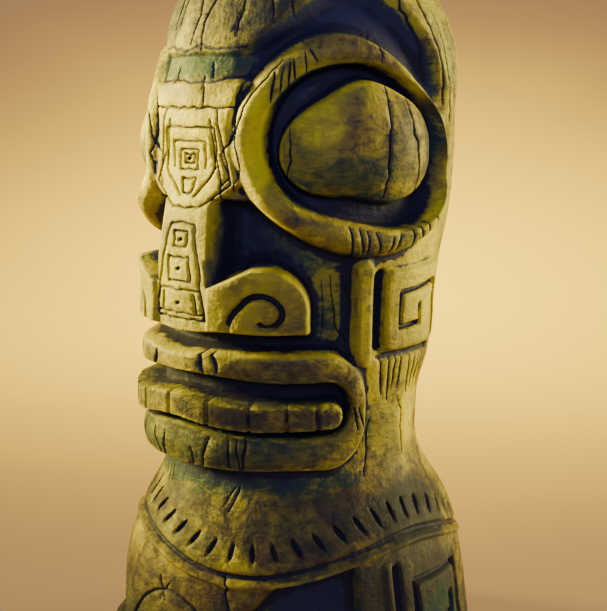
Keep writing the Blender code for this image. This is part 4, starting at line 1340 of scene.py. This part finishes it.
def glaze_material(colours):
    """Mottled yellow and umber glaze with teal transitions, dark wash and worn edges, with painted shade
    in the hollows and on the shaded parts and painted light on the lit parts.
    """
    nodes = Nodes("tiki_glaze")
    place = nodes.add("ShaderNodeTexCoord", None, None, 3)
    up = nodes.add("ShaderNodeSeparateXYZ", None, {0: place}, 2)
    fields = {name: nodes.attribute(name) for name in MAP_NAMES}
    for name, noise in GLAZE_NOISE.items():
        fields[name] = nodes.ripple(place, *noise)

    base = colours.lemon
    for name, strength, shift, weights in COATS:
        share = nodes.total(fields, weights, shift).clamped() * strength
        base = nodes.blend(base, getattr(colours, name), share)
    # Painted shade and dark wash: teal, then navy, where the wash map is strong
    ragged = nodes.total(fields, RAGGED, 0.0)
    deep = ragged.between(*DEEP_RANGE)
    base = nodes.blend(base, colours.teal, ragged.between(*TEAL_RANGE) * TEAL_STRENGTH)
    base = nodes.blend(base, colours.navy, deep)
    inked = nodes.total(fields, LINED, 0.0).between(*LINE_RANGE)
    base = nodes.blend(base, colours.ink, inked)
    # Worn edges, partly painted highlights, and painted light from the bright patches
    worn_and_lit = nodes.total(fields, WORN_AND_LIT, 0.0).between(*WORN_AND_LIT_RANGE)
    worn_and_lit = worn_and_lit * (1.0 - deep * WORN_AND_LIT_DEEP_LOSS) * (1.0 - inked)
    base = nodes.blend(base, colours.worn_and_lit, worn_and_lit * WORN_AND_LIT_STRENGTH)
    base = nodes.blend(base, colours.ink, fields["specks"].between(*SPECK_RANGE) * SPECK_STRENGTH)
    under = 1.0 - (up / (BUST_HEIGHT / HEIGHT_PARTS)).between(*CLAY_RANGE)
    base = nodes.blend(base, colours.clay, under)

    fields["under"] = under
    fields["deep"] = deep
    relief = nodes.total(fields, RELIEF, 0.0)
    bump = nodes.add(
        "ShaderNodeBump", None, {"Strength": RELIEF_STRENGTH, "Distance": RELIEF_DEPTH, "Height": relief}
    )
    return nodes.finish(nodes.add("ShaderNodeBsdfPrincipled", None, {
        "Base Color": base,
        "Roughness": nodes.total(fields, ROUGHENED, ROUGH).clamped(),
        "Normal": bump,
        "Coat Weight": GLAZE_COAT,
        "Coat Roughness": GLAZE_COAT_ROUGHNESS,
        "Specular IOR Level": GLAZE_SPECULAR,
    }))


def painted_glow_sweep_material(colours):
    """Matt card that glows by emission in a painted pool of light behind the bust, fading outward."""
    nodes = Nodes("sweep_card")
    place = nodes.add("ShaderNodeTexCoord", None, None, 3)
    turn = math.radians(POOL_TURN)
    middle = (POOL_REACH * math.sin(turn), -POOL_REACH * math.cos(turn), POOL_HEIGHT)
    gap = nodes.add("ShaderNodeVectorMath", {"operation": "DISTANCE"}, {0: place, 1: middle}, 1)
    cloud = nodes.noise(place, CLOUD_SCALE, CLOUD_DETAIL)
    gap = gap * (1.0 + (cloud - 0.5) * CLOUD_STRENGTH)
    near = 1.0 - gap.between(0.0, POOL_NEAR)
    wide = 1.0 - gap.between(POOL_WIDE_START, POOL_WIDE)
    glow = nodes.blend(colours.backdrop_edge, colours.backdrop_middle, wide)
    glow = nodes.blend(glow, colours.backdrop_glow, near)
    return nodes.finish(nodes.add("ShaderNodeBsdfPrincipled", None, {
        "Base Color": colours.card,
        "Roughness": CARD_ROUGHNESS,
        "Emission Color": glow,
        "Emission Strength": POOL_STRENGTH,
    }))


def amount(name, description, default, most, **kind):
    return bpy.props.FloatProperty(
        name=name, description=description, default=default, min=0.0, max=most, **kind
    )


def power(name, description, default):
    return bpy.props.FloatProperty(
        name=name, description=description, default=default, min=0.0, unit="POWER"
    )


def tint(name, description, colour):
    return bpy.props.FloatVectorProperty(
        name=name, description=description, default=colour, size=3, min=0.0, max=1.0, subtype="COLOR"
    )


class TikiBustSizes(bpy.types.PropertyGroup):
    """Sizes of the hand carving."""
    line_depth: amount(
        "Line depth", "How deep the fine tool lines and cracks are cut, against the real bust",
        1.0, 2.0, subtype="FACTOR",
    )
    sway: amount("Sway", "How far hand carving carries the outlines off true, in millimetres", SWAY, 2.0)
    unevenness: amount(
        "Unevenness", "Strength of the shallow waves left by the carving tools", 1.0, 3.0, subtype="FACTOR"
    )


class TikiGlazeColours(bpy.types.PropertyGroup):
    """Colours of the glaze and of the bare clay, some of them also laid on as painted light and shade."""
    lemon: tint("Lemon", "Yellow glaze on the raised parts", (0.42, 0.345, 0.022))
    ochre: tint("Ochre", "Warmer yellow in the mottling", (0.25, 0.160, 0.030))
    olive: tint("Olive", "Darker greenish yellow in the mottling", (0.11, 0.108, 0.050))
    # Umber is partly painted shade: laid on more toward the sides and shoulders, where less light falls
    umber: tint("Umber", "Brown glaze toward the sides and the shoulders", (0.105, 0.058, 0.038))
    plum: tint("Plum", "Reddish brown patches", (0.085, 0.036, 0.034))
    moss: tint("Moss", "Green cast in the mottling", (0.042, 0.078, 0.038))
    # This dark colour is painted shade on the shaded patches, and random dark mottling as well
    smoke: tint("Smoke", "Thin dark coat over the shaded parts", (0.047, 0.045, 0.035))
    # Teal and navy lay the dark wash and, with it, painted shade in the hollows, under the brow and under
    # the chin
    teal: tint("Teal", "Blue green at the edge of the dark wash", (0.017, 0.056, 0.050))
    navy: tint("Navy", "Blue black wash that pools in the hollows", (0.028, 0.029, 0.076))
    ink: tint("Ink", "Dark wash in the fine cuts", (0.018, 0.017, 0.040))
    # This pale colour is worn glaze and painted highlights at edges, and painted light on the lit patches
    worn_and_lit: tint("Worn edge", "Pale glaze broken at the edges", (0.86, 0.71, 0.012))
    clay: tint("Bare clay", "Unglazed clay of the underside", (0.55, 0.42, 0.30))


class TikiStageSettings(bpy.types.PropertyGroup):
    """Light and background."""
    card: tint("Card", "Colour of the pale sweep", (0.26, 0.17, 0.03))
    # Painted light: the sweep emits these glow colours itself, in a pool behind the bust
    backdrop_glow: tint("Glow", "Light through the sweep behind the bust", (1.0, 0.60, 0.0))
    backdrop_middle: tint("Glow round it", "Light through the sweep further out", (0.21, 0.095, 0.022))
    backdrop_edge: tint("Glow far out", "Light through the sweep away from it", (0.030, 0.024, 0.022))
    key_power: power("Key light", "Power of the light to the left of the face, in watts", 1.9)
    side_power: power("Side light", "Power of the light behind the far shoulder, in watts", 2.4)
    fill_power: power("Fill light", "Power of the weak light from the camera's side, in watts", 1.3)


class TIKI_OT_bust(bpy.types.Operator):
    """Carve and glaze the bust"""
    bl_idname = "tiki.bust"
    bl_label = "Carve the bust"

    def execute(self, context):
        sizes = context.scene.tiki_sizes
        colours = context.scene.tiki_colours
        clear_selection()
        bpy.ops.mesh.primitive_grid_add(
            x_subdivisions=SEGMENTS, y_subdivisions=RINGS, size=1.0, location=(0.0, 0.0, 0.0)
        )
        bust = context.object
        bust.name = "bust_carved"
        part = BUST_HEIGHT / HEIGHT_PARTS
        angles = -HALF_TURN + FULL_TURN * np.arange(SEGMENTS) / SEGMENTS
        heights = ring_heights()
        radius, ink = carved_sheet(angles, heights, sizes)
        roll_up(bust, angles, heights, radius, part)
        keep_triangles(bust, TRIANGLES_KEPT)
        paint_maps(bust.data, angles, heights, glaze_maps(angles, heights, radius, ink), part)
        bpy.ops.object.shade_smooth_by_angle(angle=SHADE_ANGLE)
        bust.data.materials.clear()
        bust.data.materials.append(glaze_material(colours))
        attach(bust, "root")
        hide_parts(NODE)
        clear_selection()
        return {"FINISHED"}


CAMERA_TURN = 45.0
CAMERA_RISE = 9.5
CAMERA_REACH = 0.480
CAMERA_HEIGHT = 0.213
CAMERA_LENS = 75.71
CAMERA_SENSOR = 36.0
CAMERA_CLIP = 0.01
SWEEP_FLOOR = 0.45
SWEEP_BEND = 1.05
SWEEP_STEPS = 24
SWEEP_HEIGHT = 1.06
SWEEP_SIDES = 96
CARD_ROUGHNESS = 0.9
CLOUD_SCALE = 2.2
CLOUD_DETAIL = 2.0
CLOUD_STRENGTH = 0.25
# Painted pool of light on the sweep: its middle's turn, reach and height, how far it fades, and its
# emission strength
POOL_TURN = 221.0
POOL_REACH = 0.68
POOL_HEIGHT = 0.05
POOL_NEAR = 0.64
POOL_WIDE_START = 0.1
POOL_WIDE = 1.08
POOL_STRENGTH = 3.6
ROOM_COLOUR = (0.42, 0.50, 1.0)
ROOM_STRENGTH = 0.36

# Lights: turn from the front of the face, rise, reach, size, height of their aim, spread
# and colour
LIGHTS = {
    "key": (-62.0, 11.0, 0.9, 0.22, 0.225, 30.0, (1.0, 0.86, 0.20)),
    "side": (150.0, 3.0, 0.9, 0.5, 0.15, 40.0, (1.0, 0.88, 0.32)),
    "fill": (44.0, 12.0, 1.3, 0.8, 0.15, 40.0, (0.50, 0.60, 1.0)),
}


def area_light(name, watts, azimuth, elevation, reach, size, height, spread, colour):
    """Soft square light that looks at the bust from a turn and a rise."""
    turn = math.radians(azimuth)
    rise = math.radians(elevation)
    place = (
        reach * math.cos(rise) * math.sin(turn),
        -reach * math.cos(rise) * math.cos(turn),
        height + reach * math.sin(rise),
    )
    bpy.ops.object.light_add(type="AREA", location=place, rotation=(0.5 * math.pi - rise, 0.0, turn))
    light = bpy.context.object
    light.name = name
    light.data.size = size
    light.data.energy = watts
    light.data.spread = math.radians(spread)
    light.data.color = colour


class TIKI_OT_stage(bpy.types.Operator):
    """Add the pale sweep, the lights and the camera"""
    bl_idname = "tiki.stage"
    bl_label = "Set the stage"

    def execute(self, context):
        settings = context.scene.tiki_stage
        clear_selection()
        self.add_sweep(context, settings)
        for name, setup in LIGHTS.items():
            area_light(name, getattr(settings, name + "_power"), *setup)
        self.add_camera(context)
        self.set_world(context)
        clear_selection()
        return {"FINISHED"}

    def add_sweep(self, context, settings):
        """Round floor that curves up into a wall all round."""
        bpy.ops.mesh.primitive_circle_add(
            vertices=SWEEP_SIDES, radius=SWEEP_FLOOR, fill_type="NGON", location=(0.0, 0.0, 0.0)
        )
        sweep = context.object
        sweep.name = "sweep"
        bpy.ops.object.mode_set(mode="EDIT")
        bpy.ops.mesh.select_mode(type="EDGE")
        bpy.ops.mesh.select_all(action="SELECT")
        reach = SWEEP_FLOOR
        rise = 0.0
        for step in range(1, SWEEP_STEPS + 1):
            turn = 0.5 * math.pi * step / SWEEP_STEPS
            new_reach = SWEEP_FLOOR + SWEEP_BEND * math.sin(turn)
            new_rise = SWEEP_BEND * (1.0 - math.cos(turn))
            self.grow(new_reach / reach, new_rise - rise)
            reach = new_reach
            rise = new_rise
        self.grow(1.0, SWEEP_HEIGHT - rise)
        bpy.ops.mesh.select_all(action="SELECT")
        bpy.ops.mesh.normals_make_consistent(inside=True)
        bpy.ops.object.mode_set(mode="OBJECT")
        bpy.ops.object.shade_smooth()
        sweep.data.materials.append(painted_glow_sweep_material(settings))

    def grow(self, spread, lift):
        """Extrude the selected ring of edges upward and outward."""
        bpy.ops.mesh.extrude_edges_move(TRANSFORM_OT_translate={"value": (0.0, 0.0, lift)})
        bpy.ops.transform.resize(value=(spread, spread, 1.0))

    def add_camera(self, context):
        turn = math.radians(CAMERA_TURN)
        place = (CAMERA_REACH * math.sin(turn), -CAMERA_REACH * math.cos(turn), CAMERA_HEIGHT)
        rotation = (math.radians(90.0 - CAMERA_RISE), 0.0, turn)
        bpy.ops.object.camera_add(location=place, rotation=rotation)
        camera = context.object
        camera.name = "camera"
        camera.data.lens = CAMERA_LENS
        camera.data.sensor_width = CAMERA_SENSOR
        camera.data.clip_start = CAMERA_CLIP
        context.scene.camera = camera

    def set_world(self, context):
        world = bpy.data.worlds.new("room")
        world.use_nodes = True
        background = world.node_tree.nodes["Background"]
        background.inputs["Color"].default_value = (*ROOM_COLOUR, 1.0)
        background.inputs["Strength"].default_value = ROOM_STRENGTH
        context.scene.world = world


class TIKI_PT_sidebar(bpy.types.Panel):
    """Steps and settings of the ceramic bust"""
    bl_idname = "TIKI_PT_sidebar"
    bl_label = "Ceramic tiki bust"
    bl_space_type = "VIEW_3D"
    bl_region_type = "UI"
    bl_category = "Tiki"

    def draw(self, context):
        layout = self.layout
        for group in (context.scene.tiki_sizes, context.scene.tiki_colours, context.scene.tiki_stage):
            box = layout.box()
            for name in group.__annotations__:
                box.prop(group, name)
        layout.operator("tiki.bust")
        layout.operator("tiki.stage")


CLASSES = (
    TikiBustSizes,
    TikiGlazeColours,
    TikiStageSettings,
    TIKI_OT_bust,
    TIKI_OT_stage,
    TIKI_PT_sidebar,
)


def register():
    for one in CLASSES:
        bpy.utils.register_class(one)
    bpy.types.Scene.tiki_sizes = bpy.props.PointerProperty(type=TikiBustSizes)
    bpy.types.Scene.tiki_colours = bpy.props.PointerProperty(type=TikiGlazeColours)
    bpy.types.Scene.tiki_stage = bpy.props.PointerProperty(type=TikiStageSettings)


def unregister():
    del bpy.types.Scene.tiki_stage
    del bpy.types.Scene.tiki_colours
    del bpy.types.Scene.tiki_sizes
    for one in reversed(CLASSES):
        bpy.utils.unregister_class(one)


def main():
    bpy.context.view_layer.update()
    register()
    bpy.ops.tiki.bust()
    bpy.ops.tiki.stage()


if __name__ == "__main__":
    main()
